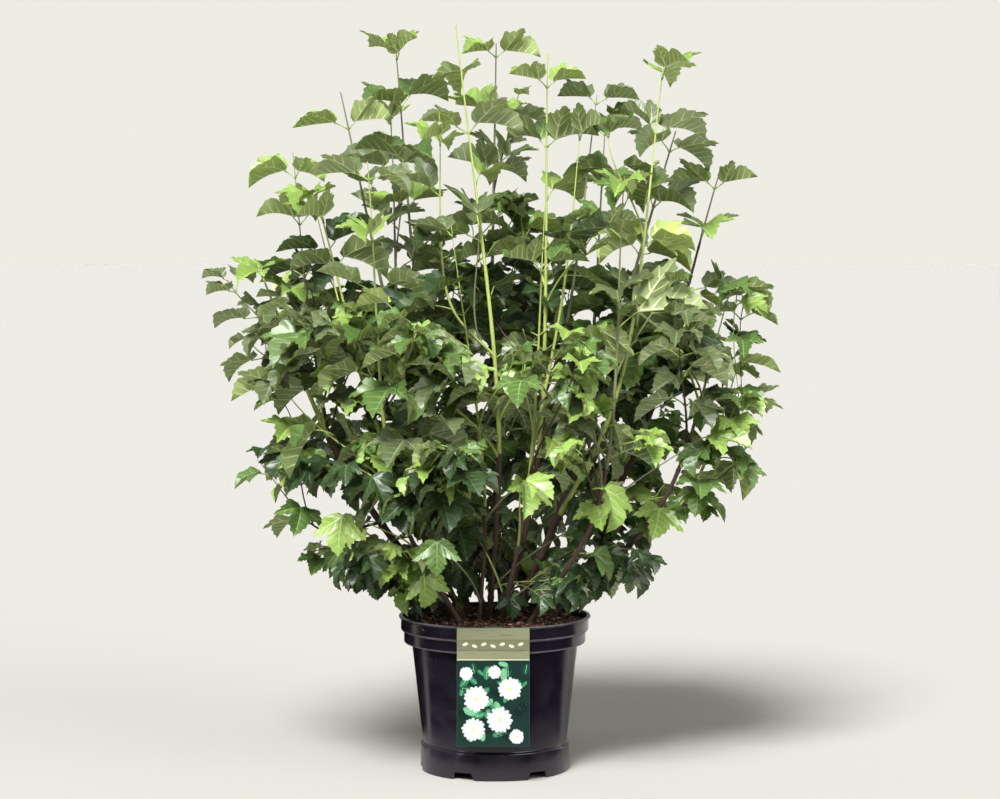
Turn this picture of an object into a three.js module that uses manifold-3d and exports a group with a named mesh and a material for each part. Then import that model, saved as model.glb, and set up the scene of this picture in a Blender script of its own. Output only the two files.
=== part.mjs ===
// A potted snowball viburnum, a shrub with many stems, in its summer leaf.
// Millimetres, +Z up. The plant's front faces -Y, and the origin is the centre of the pot's flat underside.
import * as THREE from "three";
import { mergeVertices } from "three/addons/utils/BufferGeometryUtils.js";
import Module from "manifold-3d";

const wasm = await Module();
wasm.setup();

// Clearance between solids that touch
const GAP = 0.35;

// Nursery pot, about ten litres
const POT_HEIGHT = 225;
const POT_SEGMENTS = 36;
const LIP_RADIUS = 140;
const LIP_HEIGHT = 3;
const UPPER_BAND = { radius: 137, bottom: 204, top: 221 };
const LOWER_BAND = { radius: 132.5, bottom: 186, top: 202 };
const WALL = { topRadius: 121, footRadius: 105, bottom: 40, top: 184 };
const FOOT = { radius: 108.5, height: 38, edge: 3 };
const CHANNEL = { inner: 84, outer: 102, depth: 10.5, slope: 3.5 };
const SHELL = 2.2;
const FLOOR = 3;
const NOTCH = { count: 6, first: -115, wide: 34, narrow: 26, height: 10 };

// Potting soil, flat under the stems and lower at the wall
const SOIL_TOP = 217;
const SOIL_FLAT_RADIUS = 112;
const SOIL_EDGE_DROP = 5;

// Picture card that hangs on the rim by a folded tongue
const CARD = { width: 103, height: 169, thickness: 1.2, offset: -2 };
const TONGUE = { width: 24, overlap: 10, inside: 7, reach: 8 };

// Stems: where each one leaves the soil, a point halfway, its tip, and its diameter at the foot
const STEMS = [
  { name: "stem_far_left", foot: [-64, 16], knee: [-222, -30, 452], tip: [-340, -45, 735], thick: 13 },
  { name: "stem_left", foot: [-44, -12], knee: [-156, -40, 466], tip: [-250, -80, 822], thick: 10 },
  { name: "stem_left_rear", foot: [-36, 40], knee: [-128, 55, 540], tip: [-224, 20, 986], thick: 10 },
  { name: "stem_left_centre", foot: [-16, 66], knee: [-104, 100, 600], tip: [-145, 55, 1050], thick: 9 },
  { name: "stem_centre", foot: [-8, 4], knee: [6, -84, 505], tip: [-55, -80, 1077], thick: 9 },
  { name: "stem_rear_centre", foot: [10, 44], knee: [-4, 122, 560], tip: [2, 100, 1062], thick: 10 },
  { name: "stem_centre_right", foot: [14, 18], knee: [62, -30, 452], tip: [76, -40, 1040], thick: 9 },
  { name: "stem_right", foot: [24, -10], knee: [104, 12, 400], tip: [265, 50, 930], thick: 12 },
  { name: "stem_far_right", foot: [58, 36], knee: [205, 60, 452], tip: [330, 50, 872], thick: 11 },
  { name: "stem_low_right", foot: [78, 10], knee: [240, -18, 384], tip: [342, -25, 705], thick: 9 },
  { name: "stem_slender_left", foot: [-22, -42], knee: [-14, -78, 408], tip: [-60, -170, 790], thick: 6 },
  { name: "stem_slender_right", foot: [10, -44], knee: [48, -112, 428], tip: [70, -175, 820], thick: 7 },
  { name: "stem_front_left", foot: [-50, -46], knee: [-136, -118, 398], tip: [-176, -175, 880], thick: 8 },
  { name: "stem_front_right", foot: [50, -46], knee: [146, -126, 398], tip: [180, -170, 860], thick: 8 },
  { name: "stem_rear_left", foot: [-40, 84], knee: [-128, 160, 455], tip: [-158, 190, 955], thick: 9 },
  { name: "stem_rear_right", foot: [40, 84], knee: [128, 165, 460], tip: [168, 190, 950], thick: 9 },
];
// A robust young bough that forks off the right stem, from a share of the way up it
const FORK = {
  name: "bough_right_front",
  parent: "stem_right",
  from: 0.46,
  knee: [175, -108, 560],
  tip: [240, -80, 1022],
  thick: 8,
};
const STEM_SIDES = 6;
const STEM_STEPS = 6;
const STEM_STEP_GROWTH = 1.4;
const TIP_SHARE = 0.3;
const FLARE = 1.4;
const STEM_IN_FOLIAGE = 22;
const OLD_STEM_THICKNESS = 9;

// Foliage masses: the middle of each one and its half sizes across, deep and high
const MASSES = [
  { name: "foliage_core", at: [0, 20, 700], size: [138, 140, 130] },
  { name: "foliage_low_core", at: [-6, 0, 540], size: [122, 130, 76] },
  { name: "foliage_inner_right", at: [158, 45, 590], size: [96, 104, 106] },
  { name: "foliage_left", at: [-215, -90, 655], size: [108, 108, 118] },
  { name: "foliage_right", at: [212, -105, 655], size: [106, 108, 116] },
  { name: "foliage_front_left", at: [-95, -222, 610], size: [98, 92, 114] },
  { name: "foliage_front_right", at: [70, -236, 610], size: [98, 92, 114] },
  { name: "foliage_left_outer", at: [-342, -10, 672], size: [90, 100, 98] },
  { name: "foliage_right_outer", at: [335, 0, 632], size: [84, 105, 108] },
  { name: "foliage_rear_right", at: [235, 176, 672], size: [106, 102, 112] },
  { name: "foliage_rear", at: [70, 270, 680], size: [106, 92, 114] },
  { name: "foliage_rear_left", at: [-105, 262, 672], size: [106, 96, 114] },
  { name: "foliage_left_rear", at: [-255, 150, 660], size: [106, 102, 110] },
  { name: "foliage_low_left", at: [-266, -10, 498], size: [104, 112, 97] },
  { name: "foliage_low_left_front", at: [-165, -196, 464], size: [110, 100, 96] },
  { name: "foliage_low_front", at: [-5, -246, 476], size: [98, 84, 92] },
  { name: "foliage_low_right_front", at: [152, -206, 470], size: [108, 100, 96] },
  { name: "foliage_low_right", at: [305, -15, 478], size: [110, 112, 92] },
  { name: "foliage_low_rear_right", at: [225, 176, 492], size: [108, 106, 98] },
  { name: "foliage_low_rear", at: [30, 256, 490], size: [116, 96, 100] },
  { name: "foliage_low_rear_left", at: [-175, 202, 486], size: [112, 106, 98] },
  { name: "foliage_skirt_left", at: [-240, -20, 342], size: [88, 100, 80] },
  { name: "foliage_skirt_front_left", at: [-136, -150, 336], size: [80, 76, 68] },
  { name: "foliage_skirt_right", at: [226, -40, 346], size: [86, 96, 78] },
  { name: "foliage_skirt_rim", at: [82, -114, 280], size: [46, 40, 36] },
  { name: "foliage_skirt_rear", at: [6, 188, 338], size: [178, 96, 98] },
  { name: "foliage_top_left_centre", at: [-138, 42, 942], size: [74, 68, 124] },
  { name: "foliage_top_centre", at: [-50, -76, 922], size: [54, 60, 178] },
  { name: "foliage_top_rear", at: [14, 104, 914], size: [62, 70, 148] },
  { name: "foliage_top_centre_right", at: [78, -34, 905], size: [54, 56, 136] },
  { name: "foliage_top_right_centre", at: [148, 32, 872], size: [60, 64, 134] },
  { name: "foliage_top_right", at: [236, -72, 876], size: [60, 64, 148] },
  { name: "foliage_top_left", at: [-236, 10, 862], size: [72, 68, 126] },
  { name: "foliage_top_far_left", at: [-312, -16, 798], size: [66, 66, 100] },
  { name: "foliage_top_far_right", at: [326, 42, 786], size: [66, 66, 104] },
  { name: "foliage_top_rear_left", at: [-140, 205, 850], size: [88, 80, 116] },
  { name: "foliage_top_rear_right", at: [152, 215, 845], size: [90, 80, 114] },
  { name: "foliage_top_front_left", at: [-160, -180, 785], size: [78, 70, 104] },
  { name: "foliage_top_front_right", at: [105, -200, 780], size: [84, 72, 104] },
];
// Masses lean outwards, away from a point low in the pot, by a share of the full angle
const LEAN_CENTRE = new THREE.Vector3(0, 0, 100);
const LEAN_SHARE = 0.6;
// Lumps on a mass: three waves over its surface, each with a height and the turns it makes
const LUMPS = [
  { height: 0.09, pitch: 2.6 },
  { height: 0.07, pitch: 4.3 },
  { height: 0.05, pitch: 6.5 },
];

const MASS_DETAIL = 1;
const FIRST_SEED = 101;
const SEED_STEP = 37;

const FINISHES = {
  pot: { color: "#26222b", roughness: 0.32, metalness: 0 },
  soil: { color: "#3a2a22", roughness: 0.95, metalness: 0 },
  card: { color: "#2f6b52", roughness: 0.45, metalness: 0 },
  bark: { color: "#6b5645", roughness: 0.85, metalness: 0 },
  youngBark: { color: "#8ea94f", roughness: 0.6, metalness: 0 },
  leaf: { color: "#4f7038", roughness: 0.55, metalness: 0 },
};

const Z_AXIS = new THREE.Vector3(0, 0, 1);
const Y_AXIS = new THREE.Vector3(0, 1, 0);

// The Lehmer generator, so that each mass has its own lumps and the same ones on every run
function seededRandom(seed) {
  const multiplier = 48271;
  const modulus = 2147483647;
  let state = seed;
  return () => {
    state = (state * multiplier) % modulus;
    return state / modulus;
  };
}

function toManifold(geometry) {
  const bare = geometry.clone();
  bare.deleteAttribute("normal");
  bare.deleteAttribute("uv");
  const merged = mergeVertices(bare);
  const vertProperties = new Float32Array(merged.attributes.position.array);
  const triVerts = new Uint32Array(merged.index.array);
  return new wasm.Manifold(new wasm.Mesh({ numProp: 3, vertProperties, triVerts }));
}

function toGeometry(solid) {
  const { vertProperties, triVerts } = solid.getMesh();
  const geometry = new THREE.BufferGeometry();
  geometry.setAttribute("position", new THREE.BufferAttribute(vertProperties, 3));
  geometry.setIndex(new THREE.BufferAttribute(triVerts, 1));
  geometry.computeVertexNormals();
  return geometry;
}

// The largest body of a solid that cuts may have split
function largestBody(solid) {
  const bodies = solid.decompose();
  return bodies.reduce((best, body) => (body.volume() > best.volume() ? body : best));
}

function addMesh(group, name, geometry, finish) {
  const mesh = new THREE.Mesh(geometry, new THREE.MeshStandardMaterial(FINISHES[finish]));
  mesh.name = name;
  group.add(mesh);
}

// A solid of revolution about +Z from its outline of [radius, height] points
function lathe(outline) {
  const points = outline.map(([radius, height]) => new THREE.Vector2(radius, height));
  return new THREE.LatheGeometry(points, POT_SEGMENTS).rotateX(Math.PI / 2);
}

// The inside of the pot from its floor's middle to its rim, moved in from the shell by a margin
function potInside(margin) {
  const channelRoof = CHANNEL.depth + SHELL;
  return [
    [0, FLOOR + margin],
    [CHANNEL.inner - margin, FLOOR + margin],
    [CHANNEL.inner + CHANNEL.slope - margin, channelRoof + margin],
    [WALL.footRadius - SHELL - margin, channelRoof + margin],
    [WALL.footRadius - SHELL - margin, WALL.bottom],
    [WALL.topRadius - SHELL - margin, WALL.top + SHELL + margin],
    [LOWER_BAND.radius - SHELL - margin, LOWER_BAND.bottom + SHELL + margin],
    [LOWER_BAND.radius - SHELL - margin, LOWER_BAND.top + SHELL + margin],
    [UPPER_BAND.radius - SHELL - margin, UPPER_BAND.bottom + SHELL + margin],
  ];
}

function potGeometry() {
  const outside = [
    [0, 0],
    [CHANNEL.inner, 0],
    [CHANNEL.inner + CHANNEL.slope, CHANNEL.depth],
    [CHANNEL.outer, CHANNEL.depth],
    [FOOT.radius - FOOT.edge, 0],
    [FOOT.radius, 0],
    [FOOT.radius, FOOT.height],
    [WALL.footRadius, WALL.bottom],
    [WALL.topRadius, WALL.top],
    [LOWER_BAND.radius, LOWER_BAND.bottom],
    [LOWER_BAND.radius, LOWER_BAND.top],
    [UPPER_BAND.radius, UPPER_BAND.bottom],
    [UPPER_BAND.radius, UPPER_BAND.top],
    [LIP_RADIUS, POT_HEIGHT - LIP_HEIGHT],
    [LIP_RADIUS, POT_HEIGHT],
    [UPPER_BAND.radius - SHELL, POT_HEIGHT],
  ];
  let pot = toManifold(lathe([...outside, ...potInside(0).reverse()]));
  for (let i = 0; i < NOTCH.count; i += 1) {
    pot = pot.subtract(toManifold(notchGeometry(i)));
  }
  return toGeometry(pot);
}

// One drain notch: a trapezoid that goes through the foot's thin outer edge
function notchGeometry(index) {
  const below = 1;
  const shape = new THREE.Shape([
    new THREE.Vector2(-NOTCH.wide / 2, -below),
    new THREE.Vector2(NOTCH.wide / 2, -below),
    new THREE.Vector2(NOTCH.narrow / 2, NOTCH.height),
    new THREE.Vector2(-NOTCH.narrow / 2, NOTCH.height),
  ]);
  const depth = 2 * (FOOT.radius - CHANNEL.outer);
  const angle = THREE.MathUtils.degToRad(NOTCH.first + (index * 360) / NOTCH.count);
  const notch = new THREE.ExtrudeGeometry(shape, { depth, bevelEnabled: false });
  notch.rotateX(Math.PI / 2);
  notch.translate(0, CHANNEL.outer + depth, 0);
  return notch.rotateZ(angle - Math.PI / 2);
}

function soilGeometry() {
  const edge = UPPER_BAND.radius - SHELL - GAP;
  const top = [
    [edge, SOIL_TOP - SOIL_EDGE_DROP],
    [SOIL_FLAT_RADIUS, SOIL_TOP],
    [0, SOIL_TOP],
  ];
  return lathe([...potInside(GAP), ...top]);
}

// The card hangs flat in front of the lip, and its tongue folds over the lip
function cardGeometry() {
  const front = -(LIP_RADIUS + GAP + CARD.thickness);
  const back = front + CARD.thickness;
  const top = POT_HEIGHT + GAP;
  const card = new THREE.BoxGeometry(CARD.width, CARD.thickness, CARD.height);
  card.translate(0, front + CARD.thickness / 2, top - CARD.height / 2);
  const outline = new THREE.Shape([
    new THREE.Vector2(front, top - TONGUE.overlap),
    new THREE.Vector2(back, top - TONGUE.overlap),
    new THREE.Vector2(back, top),
    new THREE.Vector2(back + TONGUE.reach, top),
    new THREE.Vector2(back + TONGUE.reach, top - TONGUE.inside),
    new THREE.Vector2(back + TONGUE.reach + CARD.thickness, top - TONGUE.inside),
    new THREE.Vector2(back + TONGUE.reach + CARD.thickness, top + CARD.thickness),
    new THREE.Vector2(front, top + CARD.thickness),
  ]);
  const tongue = new THREE.ExtrudeGeometry(outline, { depth: TONGUE.width, bevelEnabled: false });
  tongue.translate(0, 0, -TONGUE.width / 2);
  tongue.applyMatrix4(new THREE.Matrix4().makeBasis(Y_AXIS, Z_AXIS, new THREE.Vector3(1, 0, 0)));
  return toGeometry(toManifold(card).add(toManifold(tongue))).translate(CARD.offset, 0, 0);
}

function stemCurve(foot, knee, tip) {
  const points = [foot, knee, tip].map((point) => new THREE.Vector3(...point));
  return new THREE.CatmullRomCurve3(points, false, "centripetal");
}

// The uneven surface of a mass: its radius, as a share of its half sizes, in a direction
function massShape({ at, size }, index) {
  const random = seededRandom(FIRST_SEED + SEED_STEP * index);
  const lumps = LUMPS.map(({ height, pitch }) => {
    const axis = new THREE.Vector3(random() - 0.5, random() - 0.5, random() - 0.5).normalize();
    return { height, pitch, axis, phase: 2 * Math.PI * random() };
  });
  const centre = new THREE.Vector3(...at);
  const outwards = centre.clone().sub(LEAN_CENTRE).normalize();
  const fullLean = new THREE.Quaternion().setFromUnitVectors(Z_AXIS, outwards);
  const lean = new THREE.Quaternion().slerp(fullLean, LEAN_SHARE);
  const half = new THREE.Vector3(...size);
  const radius = (direction) => {
    const wave = ({ height, pitch, axis, phase }) =>
      height * Math.sin(pitch * direction.dot(axis) + phase);
    return 1 + lumps.reduce((sum, lump) => sum + wave(lump), 0);
  };
  return { centre, half, lean, radius };
}

function massGeometry(shape, margin) {
  const geometry = new THREE.IcosahedronGeometry(1, MASS_DETAIL);
  const positions = geometry.attributes.position;
  const smallest = Math.min(...shape.half);
  const growth = 1 + margin / smallest;
  const point = new THREE.Vector3();
  for (let i = 0; i < positions.count; i += 1) {
    point.fromBufferAttribute(positions, i).normalize();
    point.multiplyScalar(shape.radius(point) * growth).multiply(shape.half);
    point.applyQuaternion(shape.lean).add(shape.centre);
    positions.setXYZ(i, point.x, point.y, point.z);
  }
  return geometry;
}

function insideMass(shape, place) {
  const local = place.clone().sub(shape.centre).applyQuaternion(shape.lean.clone().invert());
  local.divide(shape.half);
  return local.length() < shape.radius(local.clone().normalize());
}

// Where along its curve, from 0 to 1, a stem has gone far enough into the first mass it meets
function stemEnd(curve, shapes) {
  const samples = 400;
  const stepLength = curve.getLength() / samples;
  for (let i = 1; i <= samples; i += 1) {
    const place = curve.getPointAt(i / samples);
    if (shapes.some((shape) => insideMass(shape, place))) {
      return Math.min(1, (i + STEM_IN_FOLIAGE / stepLength) / samples);
    }
  }
  return 1;
}

// A tapering tube along part of a curve, cut flat at its foot if it stands on the soil
function stemGeometry({ curve, thick, end, flat }, margin) {
  const geometry = new THREE.CylinderGeometry(1, 1, 1, STEM_SIDES, STEM_STEPS);
  const positions = geometry.attributes.position;
  const stretch = 1 + margin / (curve.getLength() * end);
  for (let i = 0; i < positions.count; i += 1) {
    const share = (positions.getY(i) + 0.5) ** STEM_STEP_GROWTH;
    const along = Math.min(1, share * end * stretch);
    const centre = curve.getPointAt(along);
    const tangent = curve.getTangentAt(along);
    const side = new THREE.Vector3().crossVectors(Y_AXIS, tangent).normalize();
    const level = flat && share === 0;
    const front = level ? Y_AXIS.clone() : new THREE.Vector3().crossVectors(tangent, side);
    if (level) {
      side.set(1, 0, 0);
    }
    const flare = flat && share === 0 ? FLARE : 1;
    const radius = (thick / 2) * flare * (1 - (1 - TIP_SHARE) * along) + margin;
    centre.addScaledVector(side, positions.getX(i) * radius);
    centre.addScaledVector(front, -positions.getZ(i) * radius);
    positions.setXYZ(i, centre.x, centre.y, centre.z);
  }
  return geometry;
}

function buildStems(shapes) {
  const footHeight = SOIL_TOP + GAP;
  const stems = STEMS.map(({ name, foot, knee, tip, thick }) => {
    const curve = stemCurve([...foot, footHeight], knee, tip);
    return { name, curve, thick, end: stemEnd(curve, shapes), flat: true };
  });
  const parent = stems.find(({ name }) => name === FORK.parent);
  const from = parent.curve.getPointAt(FORK.from * parent.end).toArray();
  const curve = stemCurve(from, FORK.knee, FORK.tip);
  const end = stemEnd(curve, shapes);
  const bough = { name: FORK.name, curve, thick: FORK.thick, end, flat: false };
  bough.solid = largestBody(
    toManifold(stemGeometry(bough, 0)).subtract(toManifold(stemGeometry(parent, GAP))),
  );
  return [...stems, bough];
}

function buildPlant() {
  const plant = new THREE.Group();
  addMesh(plant, "pot", potGeometry(), "pot");
  addMesh(plant, "soil", soilGeometry(), "soil");
  addMesh(plant, "label_card", cardGeometry(), "card");

  const shapes = MASSES.map(massShape);
  const stems = buildStems(shapes);
  const cutters = [];
  for (const stem of stems) {
    const solid = stem.solid ?? toManifold(stemGeometry(stem, 0));
    const finish = stem.thick >= OLD_STEM_THICKNESS ? "bark" : "youngBark";
    addMesh(plant, stem.name, toGeometry(solid), finish);
    cutters.push(toManifold(stemGeometry(stem, GAP)));
  }
  MASSES.forEach(({ name }, index) => {
    const whole = toManifold(massGeometry(shapes[index], 0));
    const left = cutters.reduce((solid, cutter) => solid.subtract(cutter), whole);
    addMesh(plant, name, toGeometry(largestBody(left)), "leaf");
    cutters.push(toManifold(massGeometry(shapes[index], GAP)));
  });
  return plant;
}

export default buildPlant();
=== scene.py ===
import math

import bpy
import numpy as np
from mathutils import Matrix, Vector
from mathutils.geometry import delaunay_2d_cdt


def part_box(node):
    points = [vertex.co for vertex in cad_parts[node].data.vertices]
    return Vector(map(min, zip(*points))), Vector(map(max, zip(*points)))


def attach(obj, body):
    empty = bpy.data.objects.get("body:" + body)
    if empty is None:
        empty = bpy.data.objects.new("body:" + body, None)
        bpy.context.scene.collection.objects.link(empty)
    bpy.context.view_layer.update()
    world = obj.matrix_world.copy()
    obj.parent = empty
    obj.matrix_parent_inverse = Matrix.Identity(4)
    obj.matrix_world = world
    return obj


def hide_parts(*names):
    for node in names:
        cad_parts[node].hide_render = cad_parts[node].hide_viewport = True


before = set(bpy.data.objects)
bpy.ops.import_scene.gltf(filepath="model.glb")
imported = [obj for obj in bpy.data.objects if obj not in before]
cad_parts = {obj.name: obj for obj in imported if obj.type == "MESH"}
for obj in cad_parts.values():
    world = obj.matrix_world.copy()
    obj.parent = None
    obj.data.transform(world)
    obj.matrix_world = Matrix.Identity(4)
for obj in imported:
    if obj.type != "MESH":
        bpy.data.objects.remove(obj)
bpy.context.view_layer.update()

MM = 0.001
UP = np.array((0.0, 0.0, 1.0))
FULL_TURN = 2 * math.pi
SEED = 41


# ---------------------------------------------------------------- camera, floor and light

CAMERA_PLACE = (0.0076, -4.0, 0.7854)
CAMERA_DOWN_TILT = 3.52
SENSOR_WIDTH = 36.0
LENS = 99.2
BACKDROP = (0.855, 0.846, 0.775)
AMBIENT = (1.0, 0.99, 0.93)
AMBIENT_STRENGTH = 0.32
# Each sun's compass angle, which is 0 at +X, its height above the floor, its strength and its softness; the
# angles are in degrees
SUNS = {"key": (-108, 50, 6.6, 22), "fill": (-40, 30, 1.3, 40)}
# The place, width, height and watts of each strip light, which only reflections show
STRIPS = {"left_strip": ((-2.2, -1.6, 0.7), 0.16, 1.8, 8), "right_strip": ((1.9, 1.2, 0.6), 0.25, 1.4, 5)}
STRIP_TARGET = (0, 0, 0.2)
FLOOR_COLOUR = (169.43, 168.66, 163.45)
FLOOR_RADIUS = 60.0
FLOOR_SIDES = 64
FLOOR_GAP = 0.0005
FLAG_COLOUR = (9.9, 9.9, 12.9)
FLAG_RADII = (0.30, 8.0)
FLAG_STEPS = 25
# The compass angles that the flag covers, in degrees; the pot's right edge mirrors the gap between them
FLAG_ARCS = ((-195, 20), (100, 155))


def linear(colour):
    """A colour given as on a screen, from 0 to 255, as linear light."""
    shares = np.array(colour) / 255
    channels = np.where(shares <= 0.04045, shares / 12.92, ((shares + 0.055) / 1.055) ** 2.4)
    return (*channels, 1.0)


def link(thing):
    bpy.context.scene.collection.objects.link(thing)
    return thing


def make_camera():
    data = bpy.data.cameras.new("camera")
    data.lens = LENS
    data.sensor_width = SENSOR_WIDTH
    data.clip_end = 200
    camera = link(bpy.data.objects.new("camera", data))
    camera.location = CAMERA_PLACE
    camera.rotation_euler = (math.radians(90 - CAMERA_DOWN_TILT), 0, 0)
    bpy.context.scene.camera = camera


def add_lamp(name, kind, place, target, strength):
    lamp = link(bpy.data.objects.new(name, bpy.data.lights.new(name, kind)))
    lamp.location = place
    lamp.rotation_euler = (Vector(target) - Vector(place)).to_track_quat("-Z", "Y").to_euler()
    lamp.data.energy = strength
    return lamp


def make_lights():
    for name, (azimuth, elevation, strength, softness) in SUNS.items():
        a, e = math.radians(azimuth), math.radians(elevation)
        way = (math.cos(a) * math.cos(e), math.sin(a) * math.cos(e), math.sin(e))
        add_lamp(name, "SUN", way, (0, 0, 0), strength).data.angle = math.radians(softness)
    for name, (place, width, height, watts) in STRIPS.items():
        strip = add_lamp(name, "AREA", place, STRIP_TARGET, watts)
        strip.data.shape = "RECTANGLE"
        strip.data.size, strip.data.size_y = width, height
        strip.visible_diffuse = False


def make_studio():
    """The world's light, the floor, the backdrop and the flag."""
    scene = bpy.context.scene
    scene.view_settings.view_transform = "Standard"
    scene.world = bpy.data.worlds.new("studio")
    scene.world.use_nodes = True
    ambient = scene.world.node_tree.nodes["Background"]
    ambient.inputs["Color"].default_value = (*AMBIENT, 1)
    ambient.inputs["Strength"].default_value = AMBIENT_STRENGTH
    rim = np.column_stack((circle(FLOOR_SIDES) * FLOOR_RADIUS, np.zeros(FLOOR_SIDES)))
    corners = np.vstack(((0, 0, 0), rim)) - (0, 0, FLOOR_GAP)
    paint = plain_material("floor_paint", FLOOR_COLOUR, 0.9, specular=0)
    floor = make_piece("floor", corners, [fan(0, 1, FLOOR_SIDES)], [paint], smooth=False)
    make_backdrop()
    make_flag()


def make_flag():
    """A dark ring on the floor that only reflections meet: the pot mirrors a dark room past a pale table."""
    corners, quads = [], []
    for first, last in FLAG_ARCS:
        angles = np.radians(np.linspace(first, last, FLAG_STEPS))
        quads.append(len(corners) + grid_quads(FLAG_STEPS, 2))
        corners += [(r * math.cos(a), r * math.sin(a), FLOOR_GAP) for a in angles for r in FLAG_RADII]
    cloth = plain_material("flag_cloth", FLAG_COLOUR, 1.0, specular=0)
    flag = make_piece("flag", corners, quads, [cloth], smooth=False)
    flag.visible_camera = flag.visible_diffuse = flag.visible_transmission = flag.visible_shadow = False
    return flag


def make_backdrop():
    """A plain pale dome far behind everything, which is only seen and lights nothing."""
    bpy.ops.mesh.primitive_uv_sphere_add(segments=64, ring_count=32, radius=FLOOR_RADIUS * 1.05)
    dome = bpy.context.object
    dome.name = "backdrop"
    material = bpy.data.materials.new("backdrop_paint")
    material.use_nodes = True
    nodes = material.node_tree.nodes
    glow = nodes.new("ShaderNodeEmission")
    glow.inputs["Color"].default_value = (*BACKDROP, 1)
    material.node_tree.links.new(glow.outputs[0], nodes["Material Output"].inputs["Surface"])
    nodes.remove(nodes["Principled BSDF"])
    dome.data.materials.append(material)
    dome.visible_diffuse = dome.visible_glossy = dome.visible_transmission = dome.visible_shadow = False
    return dome


# ---------------------------------------------------------------- meshes and materials


def add_noise(tree, width, detail):
    """The value of a noise of a width in metres that stays fixed to its object."""
    place, noise = tree.nodes.new("ShaderNodeTexCoord"), tree.nodes.new("ShaderNodeTexNoise")
    noise.inputs["Scale"].default_value = 1 / width
    noise.inputs["Detail"].default_value = detail
    tree.links.new(place.outputs["Object"], noise.inputs["Vector"])
    return noise.outputs["Fac"]


def plain_material(name, colour, roughness, specular=0.5, bump=None):
    """A material of one screen colour, with fine bumps of a width and a depth in metres where asked."""
    material = bpy.data.materials.new(name)
    material.use_nodes = True
    tree = material.node_tree
    shader = tree.nodes["Principled BSDF"]
    shader.inputs["Base Color"].default_value = linear(colour)
    shader.inputs["Roughness"].default_value = roughness
    shader.inputs["Specular IOR Level"].default_value = specular
    if bump:
        width, depth = bump
        relief = tree.nodes.new("ShaderNodeBump")
        relief.inputs["Distance"].default_value = depth
        tree.links.new(add_noise(tree, width, 2), relief.inputs["Height"])
        tree.links.new(relief.outputs["Normal"], shader.inputs["Normal"])
    return material


# The stretch of a noise's values over which a material drifts from its first colour to its second
NOISE_RANGE = (0.35, 0.68)


def two_tone_material(name, first, second, roughness, grain, bump=None, specular=0.5):
    """A material that drifts between two colours and two roughnesses on a noise of a width in metres."""
    material = plain_material(name, first, roughness[0], specular, bump)
    tree = material.node_tree
    shader = tree.nodes["Principled BSDF"]
    drift, rough = tree.nodes.new("ShaderNodeMapRange"), tree.nodes.new("ShaderNodeMapRange")
    drift.inputs["From Min"].default_value, drift.inputs["From Max"].default_value = NOISE_RANGE
    rough.inputs["To Min"].default_value, rough.inputs["To Max"].default_value = roughness
    mix = tree.nodes.new("ShaderNodeMix")
    mix.data_type = "RGBA"
    mix.inputs["A"].default_value = linear(first)
    mix.inputs["B"].default_value = linear(second)
    for source, target in (
        (add_noise(tree, grain, 5), drift.inputs["Value"]), (drift.outputs["Result"], mix.inputs["Factor"]),
        (drift.outputs["Result"], rough.inputs["Value"]),
        (mix.outputs["Result"], shader.inputs["Base Color"]),
        (rough.outputs["Result"], shader.inputs["Roughness"]),
    ):
        tree.links.new(source, target)
    return material


def make_piece(name, corners, faces, materials, face_materials=None, smooth=True, sharp=None):
    """A mesh object; faces is a list of arrays of corner numbers, each of triangles or of quads."""
    mesh = bpy.data.meshes.new(name)
    mesh.vertices.add(len(corners))
    mesh.vertices.foreach_set("co", np.asarray(corners, np.float32).ravel())
    loops = np.concatenate([np.asarray(block, np.int32).ravel() for block in faces])
    totals = np.concatenate([np.full(len(block), np.shape(block)[1], np.int32) for block in faces])
    starts = np.concatenate(([0], np.cumsum(totals)[:-1])).astype(np.int32)
    mesh.loops.add(len(loops))
    mesh.loops.foreach_set("vertex_index", loops)
    mesh.polygons.add(len(totals))
    mesh.polygons.foreach_set("loop_start", starts)
    mesh.polygons.foreach_set("loop_total", totals)
    mesh.polygons.foreach_set("use_smooth", np.full(len(totals), smooth))
    for material in materials:
        mesh.materials.append(material)
    if face_materials is not None:
        mesh.polygons.foreach_set("material_index", np.asarray(face_materials, np.int32))
    mesh.update(calc_edges=True)
    if sharp is not None:
        ends = np.empty(len(mesh.edges) * 2, np.int32)
        mesh.edges.foreach_get("vertices", ends)
        ends = ends.reshape(-1, 2)
        mesh.edges.foreach_set("use_edge_sharp", sharp[ends[:, 0]] & sharp[ends[:, 1]])
    mesh.validate()
    return link(bpy.data.objects.new(name, mesh))


def circle(count):
    """Level directions in even steps round a full turn."""
    angles = np.arange(count) / count * FULL_TURN
    return np.column_stack((np.cos(angles), np.sin(angles)))


def fan(middle, start, count, down=False):
    """The triangles between a middle corner and a ring of corners, which are numbered on from a start."""
    ring = start + np.arange(count)
    after = np.roll(ring, -1)
    return np.column_stack((np.full(count, middle), *((after, ring) if down else (ring, after))))


def grid_quads(rows, columns, closed=False):
    """The quads of a grid of corners numbered row by row; closed joins each row's end to its start."""
    row, column = np.indices((rows - 1, columns if closed else columns - 1))
    other = (column + 1) % columns
    low, high = row * columns, (row + 1) * columns
    return np.stack((low + column, low + other, high + other, high + column), -1).reshape(-1, 4)


def sheet_quads(rows, columns):
    """The quads of a thin sheet: a grid of corners in front, the same one behind it, and the rim between."""
    front = grid_quads(rows, columns)
    number = np.arange(rows * columns).reshape(rows, columns)
    rim = np.concatenate((number[0], number[1:, -1], number[-1, -2::-1], number[-2:0:-1, 0]))
    after, behind = np.roll(rim, -1), rows * columns
    sides = np.column_stack((rim, behind + rim, behind + after, after))
    return np.vstack((front, behind + np.roll(front[:, ::-1], 1, axis=1), sides))


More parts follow.
